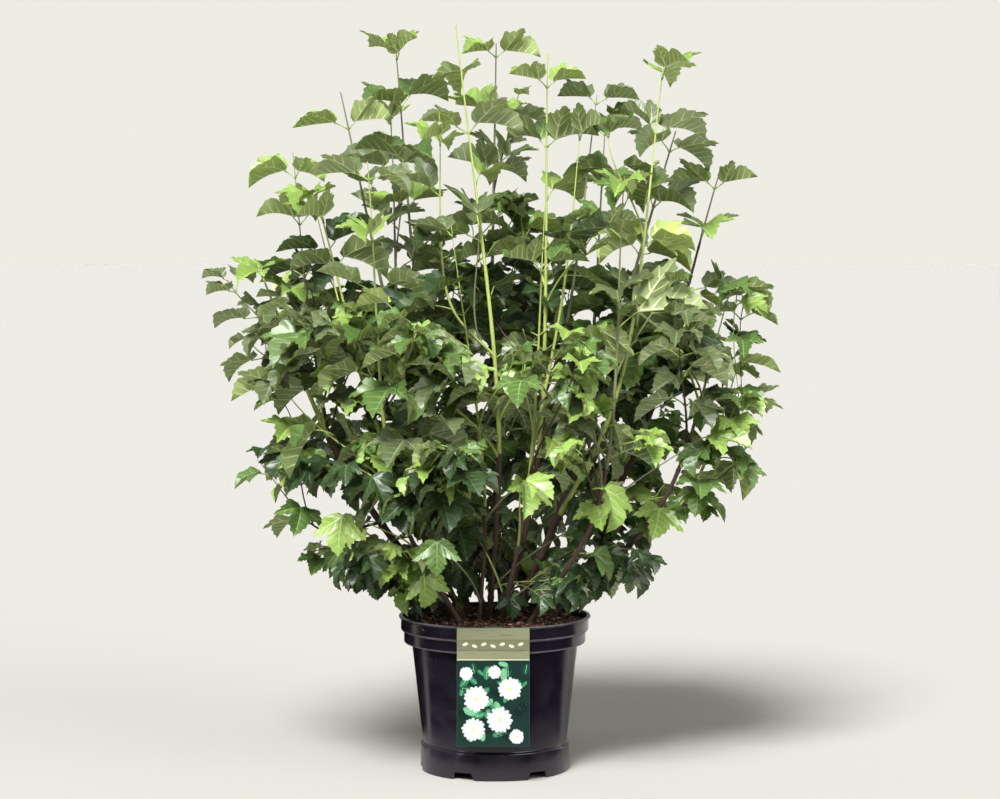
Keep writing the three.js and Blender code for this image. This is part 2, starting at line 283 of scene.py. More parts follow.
def tube_faces(rings, sides):
    """The quads round a tube with corners numbered ring by ring, and the triangles that close its ends."""
    end = np.array([(0, i + 1, i) for i in range(1, sides - 1)])
    return grid_quads(rings, sides, closed=True), np.vstack((end, end[:, ::-1] + (rings - 1) * sides))


def repeat_faces(faces, copies, corners):
    return (faces[None] + np.arange(copies)[:, None, None] * corners).reshape(-1, faces.shape[1])


def unit(vectors):
    vectors = np.asarray(vectors, float)
    return vectors / np.maximum(np.linalg.norm(vectors, axis=-1, keepdims=True), 1e-9)


def level(vector, fallback=(1.0, 0.0, 0.0)):
    """The level direction that a vector points in."""
    flat = np.array((vector[0], vector[1], 0.0))
    size = np.linalg.norm(flat)
    return flat / size if size > 1e-6 else np.array(fallback)


# ---------------------------------------------------------------- stems and shoots

SOIL_TOP = 0.217
# Where each stem leaves the soil, a point halfway, its tip and its diameter at the foot, in mm as in the CAD,
# then how far up the brown bark reaches as a share, how the young wood above it is coloured and the bare tip
STEMS = {
    "stem_far_left": ((-64, 16), (-222, -30, 452), (-340, -45, 735), 13, 0.55, "lime", 18),
    "stem_left": ((-44, -12), (-156, -40, 466), (-250, -80, 822), 10, 0.42, "lime", 28),
    "stem_left_rear": ((-36, 40), (-128, 55, 540), (-224, 20, 986), 10, 0.45, "olive", 56),
    "stem_left_centre": ((-16, 66), (-104, 100, 600), (-145, 55, 1050), 9, 0.5, "olive", 16),
    "stem_centre": ((-8, 4), (6, -84, 505), (-55, -80, 1077), 9, 0.3, "lime", 80),
    "stem_rear_centre": ((10, 44), (-4, 122, 560), (2, 100, 1062), 10, 0.5, "olive", 22),
    "stem_centre_right": ((14, 18), (62, -30, 452), (76, -40, 1040), 9, 0.3, "lime", 52),
    "stem_right": ((24, -10), (104, 12, 400), (265, 50, 930), 12, 0.6, "olive", 32),
    "stem_far_right": ((58, 36), (205, 60, 452), (330, 50, 872), 11, 0.85, "olive", 28),
    "stem_low_right": ((78, 10), (240, -18, 384), (342, -25, 705), 9, 0.6, "olive", 14),
    "stem_slender_left": ((-22, -42), (-14, -78, 408), (-60, -170, 790), 6, 0.3, "lime", 16),
    "stem_slender_right": ((10, -44), (48, -112, 428), (70, -175, 820), 7, 0.3, "lime", 18),
    "stem_front_left": ((-50, -46), (-136, -118, 398), (-176, -175, 880), 8, 0.35, "lime", 26),
    "stem_front_right": ((50, -46), (146, -126, 398), (180, -170, 860), 8, 0.4, "olive", 20),
    "stem_rear_left": ((-40, 84), (-128, 160, 455), (-158, 190, 955), 9, 0.5, "olive", 10),
    "stem_rear_right": ((40, 84), (128, 165, 460), (168, 190, 950), 9, 0.5, "olive", 22),
}
# Limbs that fork off another one: the parent and the share of its length where they leave it, then a point
# halfway, the tip, the diameter, the bark share, the colour and the bare tip as before
FORKS = {
    "bough_right_front": ("stem_right", 0.185, (175, -108, 560), (240, -80, 1022), 8, 0.06, "lime", 24),
    "fork_centre": ("stem_centre", 0.46, (-62, -104, 680), (-78, -104, 950), 5, 0.0, "lime", 46),
    "fork_mid": ("stem_slender_right", 0.42, (98, -84, 700), (122, -66, 925), 6, 0.0, "lime", 12),
    "fork_mid_right": ("stem_centre_right", 0.4, (100, -70, 640), (148, 0, 980), 6, 0.2, "olive", 14),
    "fork_low_left": ("stem_far_left", 0.3, (-250, -30, 352), (-345, -10, 452), 4, 0.9, "olive", 30),
    "fork_low_right": ("stem_low_right", 0.42, (262, -30, 384), (368, -30, 462), 4, 0.9, "olive", 34),
    "fork_left": ("stem_left", 0.4, (-205, -70, 620), (-262, -60, 840), 5, 0.1, "lime", 16),
    "fork_far_left": ("stem_far_left", 0.55, (-268, -20, 660), (-292, 0, 898), 5, 0.1, "olive", 38),
}
STEM_POINTS = 121
FORK_POINTS = 81
# How far a stem's curve starts over the soil, and how far its foot then reaches down, in mm
FOOT_OVER_SOIL = 0.35
FOOT_DEPTH = 6
# A limb tapers evenly to a share of its foot, and from a share of its length on by more; a stem's foot flares
THICK_TIP_SHARE = 0.3
THINNING_START = 0.55
THINNING = 0.4
FOOT_FLARE = 1.4
FLARE_SHARE = 0.035
BARK_SIDES = 14
SHOOT_SIDES = 7


def catmull_rom(points, count):
    """The centripetal curve through a few points, which the CAD's stems follow too, in even steps."""
    points = np.asarray(points, float)
    chain = np.vstack((2 * points[0] - points[1], points, 2 * points[-1] - points[-2]))
    rows = []
    t = np.linspace(0, 1, 80)[:, None]
    for i in range(len(points) - 1):
        p0, p1, p2, p3 = chain[i:i + 4]
        d0, d1, d2 = (math.sqrt(np.linalg.norm(b - a)) for a, b in ((p0, p1), (p1, p2), (p2, p3)))
        start = ((p1 - p0) / d0 - (p2 - p0) / (d0 + d1) + (p2 - p1) / d1) * d1
        end = ((p2 - p1) / d1 - (p3 - p1) / (d1 + d2) + (p3 - p2) / d2) * d1
        rows.append(
            (2 * t**3 - 3 * t**2 + 1) * p1 + (t**3 - 2 * t**2 + t) * start
            + (3 * t**2 - 2 * t**3) * p2 + (t**3 - t**2) * end
        )
    return even_steps(np.vstack(rows), count)


def bezier(p0, p1, p2, p3, count):
    t = np.linspace(0, 1, 60)[:, None]
    return even_steps((1 - t)**3 * p0 + 3 * (1 - t)**2 * t * p1 + 3 * (1 - t) * t**2 * p2 + t**3 * p3, count)


def even_steps(path, count):
    lengths = np.concatenate(([0], np.cumsum(np.linalg.norm(np.diff(path, axis=0), axis=1))))
    wanted = np.linspace(0, lengths[-1], count)
    return np.stack([np.interp(wanted, lengths, path[:, k]) for k in range(3)], axis=1)


class Shoot:
    """One stem or twig: its path, its radii along it and how its wood is coloured."""

    def __init__(self, path, radii, bark_share, wood, bare=0.0):
        self.path = path
        self.bare = bare
        self.radii = radii
        self.bark_share = bark_share
        self.wood = wood
        self.length = float(np.linalg.norm(np.diff(path, axis=0), axis=1).sum())

    def at(self, distance):
        """The place and the direction at a distance along the path."""
        place = distance / self.length * (len(self.path) - 1)
        i = int(min(max(place, 0), len(self.path) - 2))
        step = self.path[i + 1] - self.path[i]
        return self.path[i] + step * (place - i), unit(step)

    def radius_at(self, distance):
        return float(np.interp(distance / self.length, np.linspace(0, 1, len(self.radii)), self.radii))


def limb_radii(thick, count, flared):
    share = np.linspace(0, 1, count)
    radii = thick / 2 * (1 - (1 - THICK_TIP_SHARE) * share)
    radii *= 1 - THINNING * np.clip((share - THINNING_START) / (1 - THINNING_START), 0, 1)
    if flared:
        radii *= 1 + (FOOT_FLARE - 1) * np.clip(1 - share / FLARE_SHARE, 0, 1) ** 2
    return radii * MM


def grow_limbs():
    limbs = {}
    for name, (foot, knee, tip, thick, bark, wood, bare) in STEMS.items():
        path = catmull_rom(((*foot, SOIL_TOP / MM + FOOT_OVER_SOIL), knee, tip), STEM_POINTS) * MM
        path[0, 2] -= FOOT_DEPTH * MM
        limbs[name] = Shoot(path, limb_radii(thick, STEM_POINTS, True), bark, wood, bare * MM)
    for name, (parent, share, knee, tip, thick, bark, wood, bare) in FORKS.items():
        start, _ = limbs[parent].at(share * limbs[parent].length)
        path = catmull_rom((start / MM, knee, tip), FORK_POINTS) * MM
        limbs[name] = Shoot(path, limb_radii(thick, FORK_POINTS, False), bark, wood, bare * MM)
    return limbs


# ---------------------------------------------------------------- leaves

# One half of the edge of a blade with three toothed lobes, from beside the stalk round to the tip: how far
# forwards and how far sideways, in parts of the length from stalk to tip
HALF_EDGE = (
    (-0.075, 0.11), (-0.06, 0.225), (-0.03, 0.335), (0.035, 0.34), (0.10, 0.455), (0.175, 0.52),
    (0.215, 0.48), (0.325, 0.60), (0.36, 0.56), (0.455, 0.66), (0.555, 0.707), (0.535, 0.595),
    (0.57, 0.54), (0.49, 0.425), (0.505, 0.365), (0.435, 0.25), (0.52, 0.272), (0.625, 0.312),
    (0.65, 0.24), (0.745, 0.25), (0.77, 0.17), (0.865, 0.15), (0.885, 0.075),
)
BACK_EDGE = (-0.03, 0.0)
TIP = (1.0, 0.0)
SIDE_TIP = (0.555, 0.707)
BASE_TOOTH = (-0.03, 0.335)
# Side veins on one half: the main vein's end, the share of it where the side vein leaves, and the tooth that
# it runs to
SIDE_VEINS = (
    (TIP, 0.17, (0.435, 0.25)), (TIP, 0.36, (0.625, 0.312)), (TIP, 0.53, (0.745, 0.25)),
    (TIP, 0.70, (0.865, 0.15)), (SIDE_TIP, 0.34, (0.175, 0.52)), (SIDE_TIP, 0.58, (0.325, 0.60)),
    (SIDE_TIP, 0.32, (0.505, 0.365)), (SIDE_TIP, 0.56, (0.57, 0.54)),
)
SIDE_VEIN_ANGLE = math.atan2(SIDE_TIP[1], SIDE_TIP[0])
BASE_VEIN_ANGLE = math.radians(106)
MAIN_VEIN_WIDTH = 0.050
SIDE_VEIN_WIDTH = 0.023
# How far a side vein starts from the edge of the vein that it leaves
VEIN_GAP = 0.007
BLADE_THICKNESS = 0.009
VEIN_RIDGE = 0.008
# The grid of corners inside the blade, and how far they keep off its edge and its veins
BLADE_STEP = 0.105
ROW_STEP = BLADE_STEP * 0.87
EDGE_CLEARANCE = 0.03
VEIN_CLEARANCE = 0.033
FURROW_WIDTH = 0.07
FURROW_DEPTH = 0.20
UPPER, UPPER_VEIN, UNDER, UNDER_VEIN = range(4)


def pleat(points):
    """How high the blade stands between its main veins, as a share of the distance from the stalk."""
    angle = np.abs(np.arctan2(points[:, 1], points[:, 0]))
    first = angle / SIDE_VEIN_ANGLE
    second = (angle - SIDE_VEIN_ANGLE) / (BASE_VEIN_ANGLE - SIDE_VEIN_ANGLE)
    between = np.where(first < 1, first, np.clip(second, 0, 1))
    return np.sin(math.pi * between) ** 2 * np.hypot(points[:, 0], points[:, 1])


def vein_network():
    """The veins of a flat leaf as narrow triangles, each with its foot, its end and its width at the foot."""
    veins = [(np.zeros(2), np.array(TIP), MAIN_VEIN_WIDTH)]
    for sign in (1, -1):
        turn = np.array((1, sign))
        veins.append((np.array(SIDE_TIP) * 0.04 * turn, np.array(SIDE_TIP) * turn, MAIN_VEIN_WIDTH * 0.85))
        veins.append((np.array(BASE_TOOTH) * 0.09 * turn, np.array(BASE_TOOTH) * turn, SIDE_VEIN_WIDTH))
        for parent, share, tooth in SIDE_VEINS:
            foot, end = np.array(parent) * share, np.array(tooth)
            start = MAIN_VEIN_WIDTH / 2 * (1 - share) + VEIN_GAP
            veins.append(((foot + unit(end - foot) * start) * turn, end * turn, SIDE_VEIN_WIDTH))
    return veins


def distance_to(points, foot, end):
    """How far points are from a line's nearest place, and where that is as a share of the line."""
    along = end - foot
    share = np.clip((points - foot) @ along / (along @ along), 0, 1)
    return np.linalg.norm(points - foot - share[:, None] * along, axis=1), share


def is_inside(point, outline):
    """Whether a point is inside a closed outline, by how often the edge is crossed on the way out."""
    x, y = point
    crossings = 0
    for (ax, ay), (bx, by) in zip(outline, np.roll(outline, -1, axis=0)):
        crossings += (ay > y) != (by > y) and x < (bx - ax) * (y - ay) / (by - ay) + ax
    return crossings % 2 == 1


def make_leaf_template():
    """A leaf as a thin closed solid: its corners as forwards, sideways, pleat and height, and its faces."""
    half = np.array(HALF_EDGE)
    edge = np.vstack((BACK_EDGE, half, TIP, half[::-1] * (1, -1)))
    borders = list(zip(edge, np.roll(edge, -1, axis=0)))
    veins = vein_network()
    points = [tuple(point) for point in edge]
    lines = [(i, (i + 1) % len(edge)) for i in range(len(edge))]

    def number_of(point):
        near = np.linalg.norm(np.array(points) - point, axis=1)
        if near.min() < 1e-6:
            return int(near.argmin())
        points.append(tuple(point))
        return len(points) - 1

    def gap_to(places, sections):
        return np.min([distance_to(places, *section[:2])[0] for section in sections], axis=0)

    for foot, end, width in veins:
        way = unit(end - foot)
        across = np.array((-way[1], way[0])) * width / 2
        lines += [(number_of(foot + across * sign), number_of(end)) for sign in (1, -1)]
    low, high = edge.min(axis=0), edge.max(axis=0)
    for row, y in enumerate(np.arange(low[1], high[1], ROW_STEP)):
        for x in np.arange(low[0] + (row % 2) * BLADE_STEP / 2, high[0], BLADE_STEP):
            place = np.array(((x, y),))
            clear = gap_to(place, borders) > EDGE_CLEARANCE and gap_to(place, veins) > VEIN_CLEARANCE
            if clear and is_inside((x, y), edge):
                points.append((x, y))
    made = delaunay_2d_cdt([Vector(point) for point in points], lines, [list(range(len(edge)))], 1, 1e-5)
    flat, tris = np.array([tuple(point) for point in made[0]]), np.array(made[2])
    around = np.cross(flat[tris[:, 1]] - flat[tris[:, 0]], flat[tris[:, 2]] - flat[tris[:, 0]])
    tris[around < 0] = tris[around < 0][:, ::-1]
    on_edge = gap_to(flat, borders) < 1e-5
    is_vein, ridge = np.zeros(len(tris), bool), np.zeros(len(flat), bool)
    for foot, end, width in veins:
        away, share = distance_to(flat[tris].mean(axis=1), foot, end)
        is_vein |= (away < width / 2 * (1 - share) + 1e-6) & (share > 0)
        away, share = distance_to(flat, foot, end)
        ridge |= (away < width / 2 * (1 - share) + 1e-5) & (share < 0.9)
    raised = pleat(flat) + FURROW_DEPTH * np.minimum(gap_to(flat, veins) / FURROW_WIDTH, 1)
    half_thick = np.where(on_edge, 0, BLADE_THICKNESS / 2)
    top = np.column_stack((flat, raised, half_thick))
    inner = np.flatnonzero(~on_edge)
    under = np.column_stack((flat, raised, -half_thick - VEIN_RIDGE * ridge))[inner]
    lower = np.arange(len(flat))
    lower[inner] = len(flat) + np.arange(len(inner))
    return {
        "corners": np.vstack((top, under)),
        "tris": np.vstack((tris, lower[tris][:, ::-1])),
        "materials": np.concatenate((
            np.where(is_vein, UPPER_VEIN, UPPER), np.where(is_vein, UNDER_VEIN, UNDER)
        )),
        "edge": np.concatenate((on_edge, np.zeros(len(inner), bool))),
    }


def stacked(leaves):
    """The values of many leaves: for each name an array with a row for each leaf."""
    return {name: np.array([np.atleast_1d(leaf[name]) for leaf in leaves]) for name in leaves[0]}


def bend_leaves(template, leaf):
    """The corners of every leaf in place, from its fold, pleats, curl and twist."""
    x, y, raised, height = template["corners"].T
    x, y, raised, height = (np.broadcast_to(a, (len(leaf["size"]), len(a))) for a in (x, y, raised, height))
    y = y * leaf["width"]
    z = height + raised * leaf["pleat"] + np.abs(y) * np.sin(leaf["fold"]) - leaf["droop"] * y**2
    y = y * np.cos(leaf["fold"])
    turn = leaf["twist"] * x
    y, z = y * np.cos(turn) - z * np.sin(turn), y * np.sin(turn) + z * np.cos(turn)
    arc = leaf["curl"] * x
    forward = np.sin(arc) / leaf["curl"] + z * np.sin(arc)
    rise = -(1 - np.cos(arc)) / leaf["curl"] + z * np.cos(arc)
    size = leaf["size"]
    places = (
        (forward * size)[..., None] * leaf["ahead"][:, None, :]
        + (y * size)[..., None] * leaf["aside"][:, None, :]
        + (rise * size)[..., None] * leaf["above"][:, None, :]
    )
    return leaf["origin"][:, None, :] + places


def make_leaf_piece(name, leaves, template, materials):
    corners = bend_leaves(template, stacked(leaves))
    copies, count = corners.shape[:2]
    return make_piece(
        name, corners.reshape(-1, 3), [repeat_faces(template["tris"], copies, count)], materials,
        np.tile(template["materials"], copies), sharp=np.tile(template["edge"], copies),
    )


STALK_SIDES = 5
STALK_RINGS = 5
# The radius of a stalk in parts of its middle's, at shares of its length from the twig
STALK_SHARES = (0, 0.15, 1)
STALK_GIRTHS = (1.7, 1.0, 0.85)


def make_stalk_piece(name, leaves, material):
    """The stalks of all the leaves: thin tubes that bend from the twig to the blade."""
    leaf = stacked(leaves)
    foot, knee, end = (leaf[part][:, None] for part in ("stalk_foot", "stalk_knee", "origin"))
    t = np.linspace(0, 1, STALK_RINGS)[None, :, None]
    centre = (1 - t)**2 * foot + 2 * (1 - t) * t * knee + t**2 * end
    girth = leaf["stalk_radius"] * np.interp(t[..., 0], STALK_SHARES, STALK_GIRTHS)
    return join_tubes(name, [tubes(centre, girth[..., None], STALK_SIDES, (0.31, 0.57, 0.11))], material)


def join_tubes(name, blocks, material):
    """A piece of closed tubes; each block is an array of tubes, rings, sides and coordinates."""
    corners, quads, caps, start = [], [], [], 0
    for block in blocks:
        copies, rings, sides = block.shape[:3]
        corners.append(block.reshape(-1, 3))
        for found, faces in zip((quads, caps), tube_faces(rings, sides)):
            found.append(start + repeat_faces(faces, copies, rings * sides))
        start += copies * rings * sides
    return make_piece(name, np.vstack(corners), [np.vstack(quads), np.vstack(caps)], [material])


def tubes(paths, girths, sides, across=(0.0, 1.0, 0.05)):
    """The rings about many paths, with a radius for each ring or for each of its corners."""
    along = unit(np.gradient(paths, axis=1))
    side = unit(np.cross(along, across))
    front = np.cross(along, side)
    ring = circle(sides)
    ways = side[:, :, None] * ring[:, :1] + front[:, :, None] * ring[:, 1:]
    return paths[:, :, None] + ways * girths[..., None]


# ---------------------------------------------------------------- how the crown grows

MASSES = sorted(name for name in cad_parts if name.startswith("foliage_"))
# Leaves for each cubic metre of a mass, by what its name starts with; the first that fits is used
LEAF_DENSITY = {
    "foliage_core": 4400, "foliage_low_core": 4500, "foliage_inner": 4200, "foliage_skirt_rim": 20000,
    "foliage_skirt": 8600, "foliage_low_left": 5600, "foliage_low_right": 6000, "foliage_low": 8000,
    "foliage_top_centre": 2600, "foliage_top_rear": 2000, "foliage_top": 1500, "foliage_left_outer": 5000,
    "foliage_right_outer": 6000, "foliage_": 8200,
}
TINTS = ("deep_and_shaded", "green", "fresh", "lime", "dusky")
foliage = {tint: [] for tint in TINTS}
leaf_places = []


class Room:
    """A place that twigs fill: an ellipsoid with the number of leaves that it asks for."""

    def __init__(self, centre, half, density):
        self.centre, self.half = centre, half
        self.wanted = 4 / 3 * math.pi * float(np.prod(half)) * density

    def holds(self, points, reach):
        away = (np.atleast_2d(points) - self.centre) / self.half
        return (away**2).sum(axis=1) < reach**2


# The centre and the half sizes in mm of further rooms among the stems' feet, the last one behind the shown
# limbs, and how many leaves each asks for in a cubic metre
EXTRA_ROOMS = (
    ((-60, 100, 296), (84, 50, 62), 17000), ((60, 105, 300), (84, 50, 66), 17000),
    ((-84, -30, 318), (60, 60, 62), 13000), ((60, -60, 372), (90, 60, 46), 9000),
    ((-20, -90, 400), (110, 60, 40), 9000), ((118, 20, 308), (60, 60, 50), 10000),
    ((0, 10, 330), (60, 50, 60), 9000), ((10, 60, 800), (80, 70, 62), 9000),
)


def find_rooms():
    """The room of each foliage node, as the ellipsoid in its box, and the extra rooms."""
    for name in MASSES:
        low, high = (np.array(corner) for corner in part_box(name))
        density = next(value for start, value in LEAF_DENSITY.items() if name.startswith(start))
        yield Room((low + high) / 2, (high - low) / 2, density)
    for centre, half, density in EXTRA_ROOMS:
        yield Room(np.array(centre) * MM, np.array(half) * MM, density)


# Single sprays that stand out from the crown: the place of each one's tip in mm, and whether it hangs
LONE_SPRAYS = (
    (-354, -20, 624, False), (-386, -10, 712, False), (-302, -30, 532, False), (-322, -10, 470, True),
    (-275, -60, 458, False), (-262, 0, 318, True), (-215, -40, 296, True), (-190, -70, 300, True),
    (350, -10, 682, False), (362, 0, 612, False), (355, -30, 545, False), (322, -60, 490, False),
    (300, -10, 392, True), (190, -30, 290, True), (150, -20, 285, True), (215, -30, 320, True),
    (60, -105, 268, True), (-105, -44, 268, True),
)
# Single leaves that catch the eye on the crown's front: where the twig ends in mm, the compass angle that the
# blade points in, how it rises and how it rolls in degrees, its length in mm and its tint
SHOWN_LEAVES = (
    ((172, -125, 645), (0, 6, -74, 100, "green")), ((138, -150, 628), (60, -62, 10, 66, "fresh")),
    ((292, -70, 486), (-25, -8, 30, 64, "fresh")), ((150, -150, 506), (40, -58, 20, 48, "fresh")),
    ((-140, -200, 676), (165, 4, 20, 46, "lime")), ((-196, -150, 384), (-120, -66, 0, 58, "fresh")),
    ((36, -235, 436), (-20, -20, 10, 46, "fresh")), ((-250, -120, 630), (-140, -30, -10, 76, "green")),
    ((-226, -140, 498), (-150, -48, 10, 78, "green")), ((-22, -130, 790), (100, 20, 0, 74, "dusky")),
    ((-296, -60, 552), (175, -14, 20, 66, "fresh")), ((-76, -190, 352), (-90, -72, 0, 48, "green")),
)
# The share of each tint inside the crown, where the darkest tint is mostly painted shade of the crown's
# depths, and outside by the height in metres over which it holds
SHADED_INNER_TINTS = (0.66, 0.24, 0.02, 0.0, 0.08)
OUTER_TINTS = {
    0.78: (0.08, 0.27, 0.29, 0.0, 0.36), 0.5: (0.20, 0.29, 0.33, 0.03, 0.15),
    0.0: (0.29, 0.36, 0.25, 0.03, 0.07),
}
CROWN_HALF_WIDTH = 0.40
CROWN_HALF_DEPTH = 0.32
# Below this height, and within this share of the way out from the axis, a spray counts as inside
TOP_HEIGHT = 0.78
INNER_SHARE = 0.5


def tint_of(point, draw):
    """The tint of one spray, by where in the crown it grows; inside the crown it is mostly the darkest tint,
    as painted shade.
    """
    out = math.hypot(point[0] / CROWN_HALF_WIDTH, point[1] / CROWN_HALF_DEPTH)
    if out < INNER_SHARE and point[2] < TOP_HEIGHT:
        return draw.choice(TINTS, p=SHADED_INNER_TINTS)
    return draw.choice(TINTS, p=next(shares for height, shares in OUTER_TINTS.items() if point[2] > height))


# How far the blades rise in degrees, with what spread, and how far they roll in radians, by height in metres
RISE_HEIGHTS = (0.25, 0.42, 0.60, 0.80, 1.0)
RISE_MEANS = (-52, -30, -12, 4, 12)
RISE_SPREADS = (17, 16, 14, 14, 15)
ROLL_SPREADS = (0.34, 0.30, 0.22, 0.17, 0.15)


def posture(height, draw):
    """How a leaf holds itself at a height: its rise, roll and fold in radians, its curl and its pleats."""
    steep = float(np.clip((height - 0.45) / 0.4, 0, 1))
    rise, spread, roll = (
        float(np.interp(height, RISE_HEIGHTS, row)) for row in (RISE_MEANS, RISE_SPREADS, ROLL_SPREADS)
    )
    return {
        "rise": math.radians(draw.normal(rise, spread)),
        "roll": draw.normal(0, roll),
        "fold": math.radians(draw.uniform(8, 22) + 19 * steep),
        "curl": draw.uniform(0.25, 1.0) - 0.15 * steep,
        "droop": draw.uniform(0.0, 0.35) * (1 - 0.6 * steep),
        "twist": draw.normal(0, 0.3),
        "pleat": draw.uniform(0.15, 0.30),
    }


# Limbs that show in front of the crown, each with the heights in metres between which most leaves keep off it
SHOWN_LIMBS = {
    "stem_centre": (0.22, 1.1), "stem_centre_right": (0.22, 1.1), "bough_right_front": (0.30, 1.1),
    "stem_right": (0.22, 0.40), "stem_slender_right": (0.22, 0.36),
}
SHOWN_SHARE = 0.93
# The radius of a shown limb in metres, as far as leaves in front of it go
LIMB_RADIUS = 0.002
shown_paths = []


def hides_limb(middle, size):
    """Whether something of a size would stand in front of a shown limb."""
    for path in shown_paths:
        i = int(np.searchsorted(path[:, 2], middle[2]))
        if 0 < i < len(path):
            x, y, _ = path[i]
            if middle[1] < y and abs(middle[0] - x) < size / 2 + LIMB_RADIUS:
                return True
    return False


def turn_level(way, yaw):
    """A level direction turned about +Z."""
    c, s = math.cos(yaw), math.sin(yaw)
    return np.array((way[0] * c - way[1] * s, way[0] * s + way[1] * c, 0.0))


# A stalk's length and a blade's width, each from its least to its most, in parts of the blade's length
STALK_LENGTHS = (0.26, 0.5)
BLADE_WIDTHS = (0.92, 1.12)


def add_leaf(shoot, distance, out_way, size, tint, draw, open_angle=48):
    """One leaf on its stalk, on the side of the shoot that out_way points to."""
    node, along = shoot.at(distance)
    look = posture(node[2], draw)
    ahead = level(out_way + 0.25 * level(along, out_way), level(along))
    ahead = turn_level(ahead, draw.normal(0, 0.28))
    set_leaf(shoot, distance, out_way, ahead, look, size, tint, draw, open_angle)


def set_leaf(shoot, distance, out_way, ahead, look, size, tint, draw, open_angle, always=False):
    """A leaf whose blade points in a level way, with its posture, unless it would hide a shown limb."""
    node, along = shoot.at(distance)
    aside = np.cross(UP, ahead)
    ahead = ahead * math.cos(look["rise"]) + UP * math.sin(look["rise"])
    above = np.cross(ahead, aside)
    c, s = math.cos(look["roll"]), math.sin(look["roll"])
    aside, above = aside * c + above * s, above * c - aside * s
    spread = math.radians(open_angle + draw.normal(0, 7))
    start = unit(along * math.cos(spread) + out_way * math.sin(spread))
    stalk = size * draw.uniform(*STALK_LENGTHS) * float(np.interp(node[2], (0.6, 0.9), (1.0, 0.75)))
    foot = node + out_way * shoot.radius_at(distance) * 0.6
    knee = foot + start * stalk * 0.62
    end = knee + unit(start + 0.7 * ahead) * stalk * 0.42
    width = draw.uniform(*BLADE_WIDTHS)
    if not always and hides_limb(end + ahead * size * 0.45, size) and draw.random() < SHOWN_SHARE:
        return
    foliage[tint].append(look | {
        "origin": end, "ahead": ahead, "aside": aside, "above": above, "size": size, "width": width,
        "stalk_foot": foot, "stalk_knee": knee, "stalk_radius": 0.00075 + size * 0.004,
    })
    leaf_places.append(end + ahead * size * 0.4)


def side_ways(along, turn):
    """The two ways that a pair of leaves points in, square to the shoot, turned about it by an angle."""
    first = unit(np.cross(along, (0.35, 0.93, 0.05)))
    second = np.cross(along, first)
    way = first * math.cos(turn) + second * math.sin(turn)
    return way, -way


PAIR_GAP = 0.078
TIP_LEAF_SHARE = 0.62
# Below this height twigs may come down from their limb, and half of them have brown bark
LOW_TWIGS = 0.36
# How far twigs reach from their limb in metres, and the cosine of the angle at which they best leave it
TWIG_REACH = (0.13, 0.24)
TWIG_LEAN = 0.72
# Leaves stand on at most this length of a twig's end
LEAFY_LENGTH = 0.21
# The width in front of a shown limb that twigs keep free
TWIG_CLEARANCE = 0.044
MOST_TWIGS = 36
TWIG_POINTS = 33
TWIG_TIP_RADIUS = 0.75 * MM
SHOWN_CURL = 0.4


def add_pair(shoot, distance, turn, size, tint, draw, kept, least):
    """Two leaves opposite each other, of which a few are missing."""
    for way in side_ways(shoot.at(distance)[1], turn + draw.normal(0, 0.18)):
        if draw.random() < kept:
            add_leaf(shoot, distance, way, size * draw.uniform(least, 1.15), tint, draw)


def leaf_pairs(twig, start, end, gap, tint, draw):
    """Pairs of leaves up a twig, each pair square to the last, smaller towards the tip."""
    turn = draw.uniform(0, math.pi)
    distance = start
    while distance < end:
        share = (distance - start) / max(end - start, 1e-6)
        size = leaf_size(twig.at(distance)[0][2]) * (1 - (1 - TIP_LEAF_SHARE) * share**2)
        add_pair(twig, distance, turn, size, tint, draw, 0.94, 0.82)
        turn += math.pi / 2
        distance += gap * (1 - 0.35 * share) * draw.uniform(0.85, 1.15)


def leaf_size(height):
    return float(np.interp(height, (0.25, 0.45, 0.75, 1.0), (0.046, 0.057, 0.065, 0.065)))


def dress_limbs(limbs, rooms):
    """Pairs of leaves down each limb from its tip to where it enters the crown."""
    for number, limb in enumerate(limbs.values()):
        draw = np.random.default_rng((SEED, 1, number))
        places = np.linspace(0.1, 1, 60) * limb.length
        inside = [place for place in places if any(room.holds(limb.at(place)[0], 1.02)[0] for room in rooms)]
        start = inside[0] + 0.03 if inside else 0.6 * limb.length
        turn = draw.uniform(0, math.pi)
        distance = limb.length - limb.bare
        while distance > start:
            node, _ = limb.at(distance)
            tint = tint_of(node, draw)
            young = min(1, 0.86 + (limb.length - limb.bare - distance) * 1.6)
            add_pair(limb, distance, turn, leaf_size(node[2]) * young, tint, draw, 0.95, 0.85)
            turn += math.pi / 2
            distance -= PAIR_GAP * draw.uniform(0.85, 1.15)


def choose_source(sources, target, draw):
    """The place on a limb from which a twig reaches the target best."""
    gaps = target - sources[:, :3]
    reach = np.linalg.norm(gaps, axis=1)
    lean = np.abs((gaps * sources[:, 3:6]).sum(axis=1) / reach - TWIG_LEAN)
    cost = np.abs(reach - draw.uniform(*TWIG_REACH)) * 6 + lean * 1.2 + draw.uniform(0, 0.35, len(sources))
    if target[2] > LOW_TWIGS:
        cost += np.where(gaps[:, 2] < 0.02, 1.0, 0) - gaps[:, 2] * 1.5
    return sources[int(np.argmin(cost))]


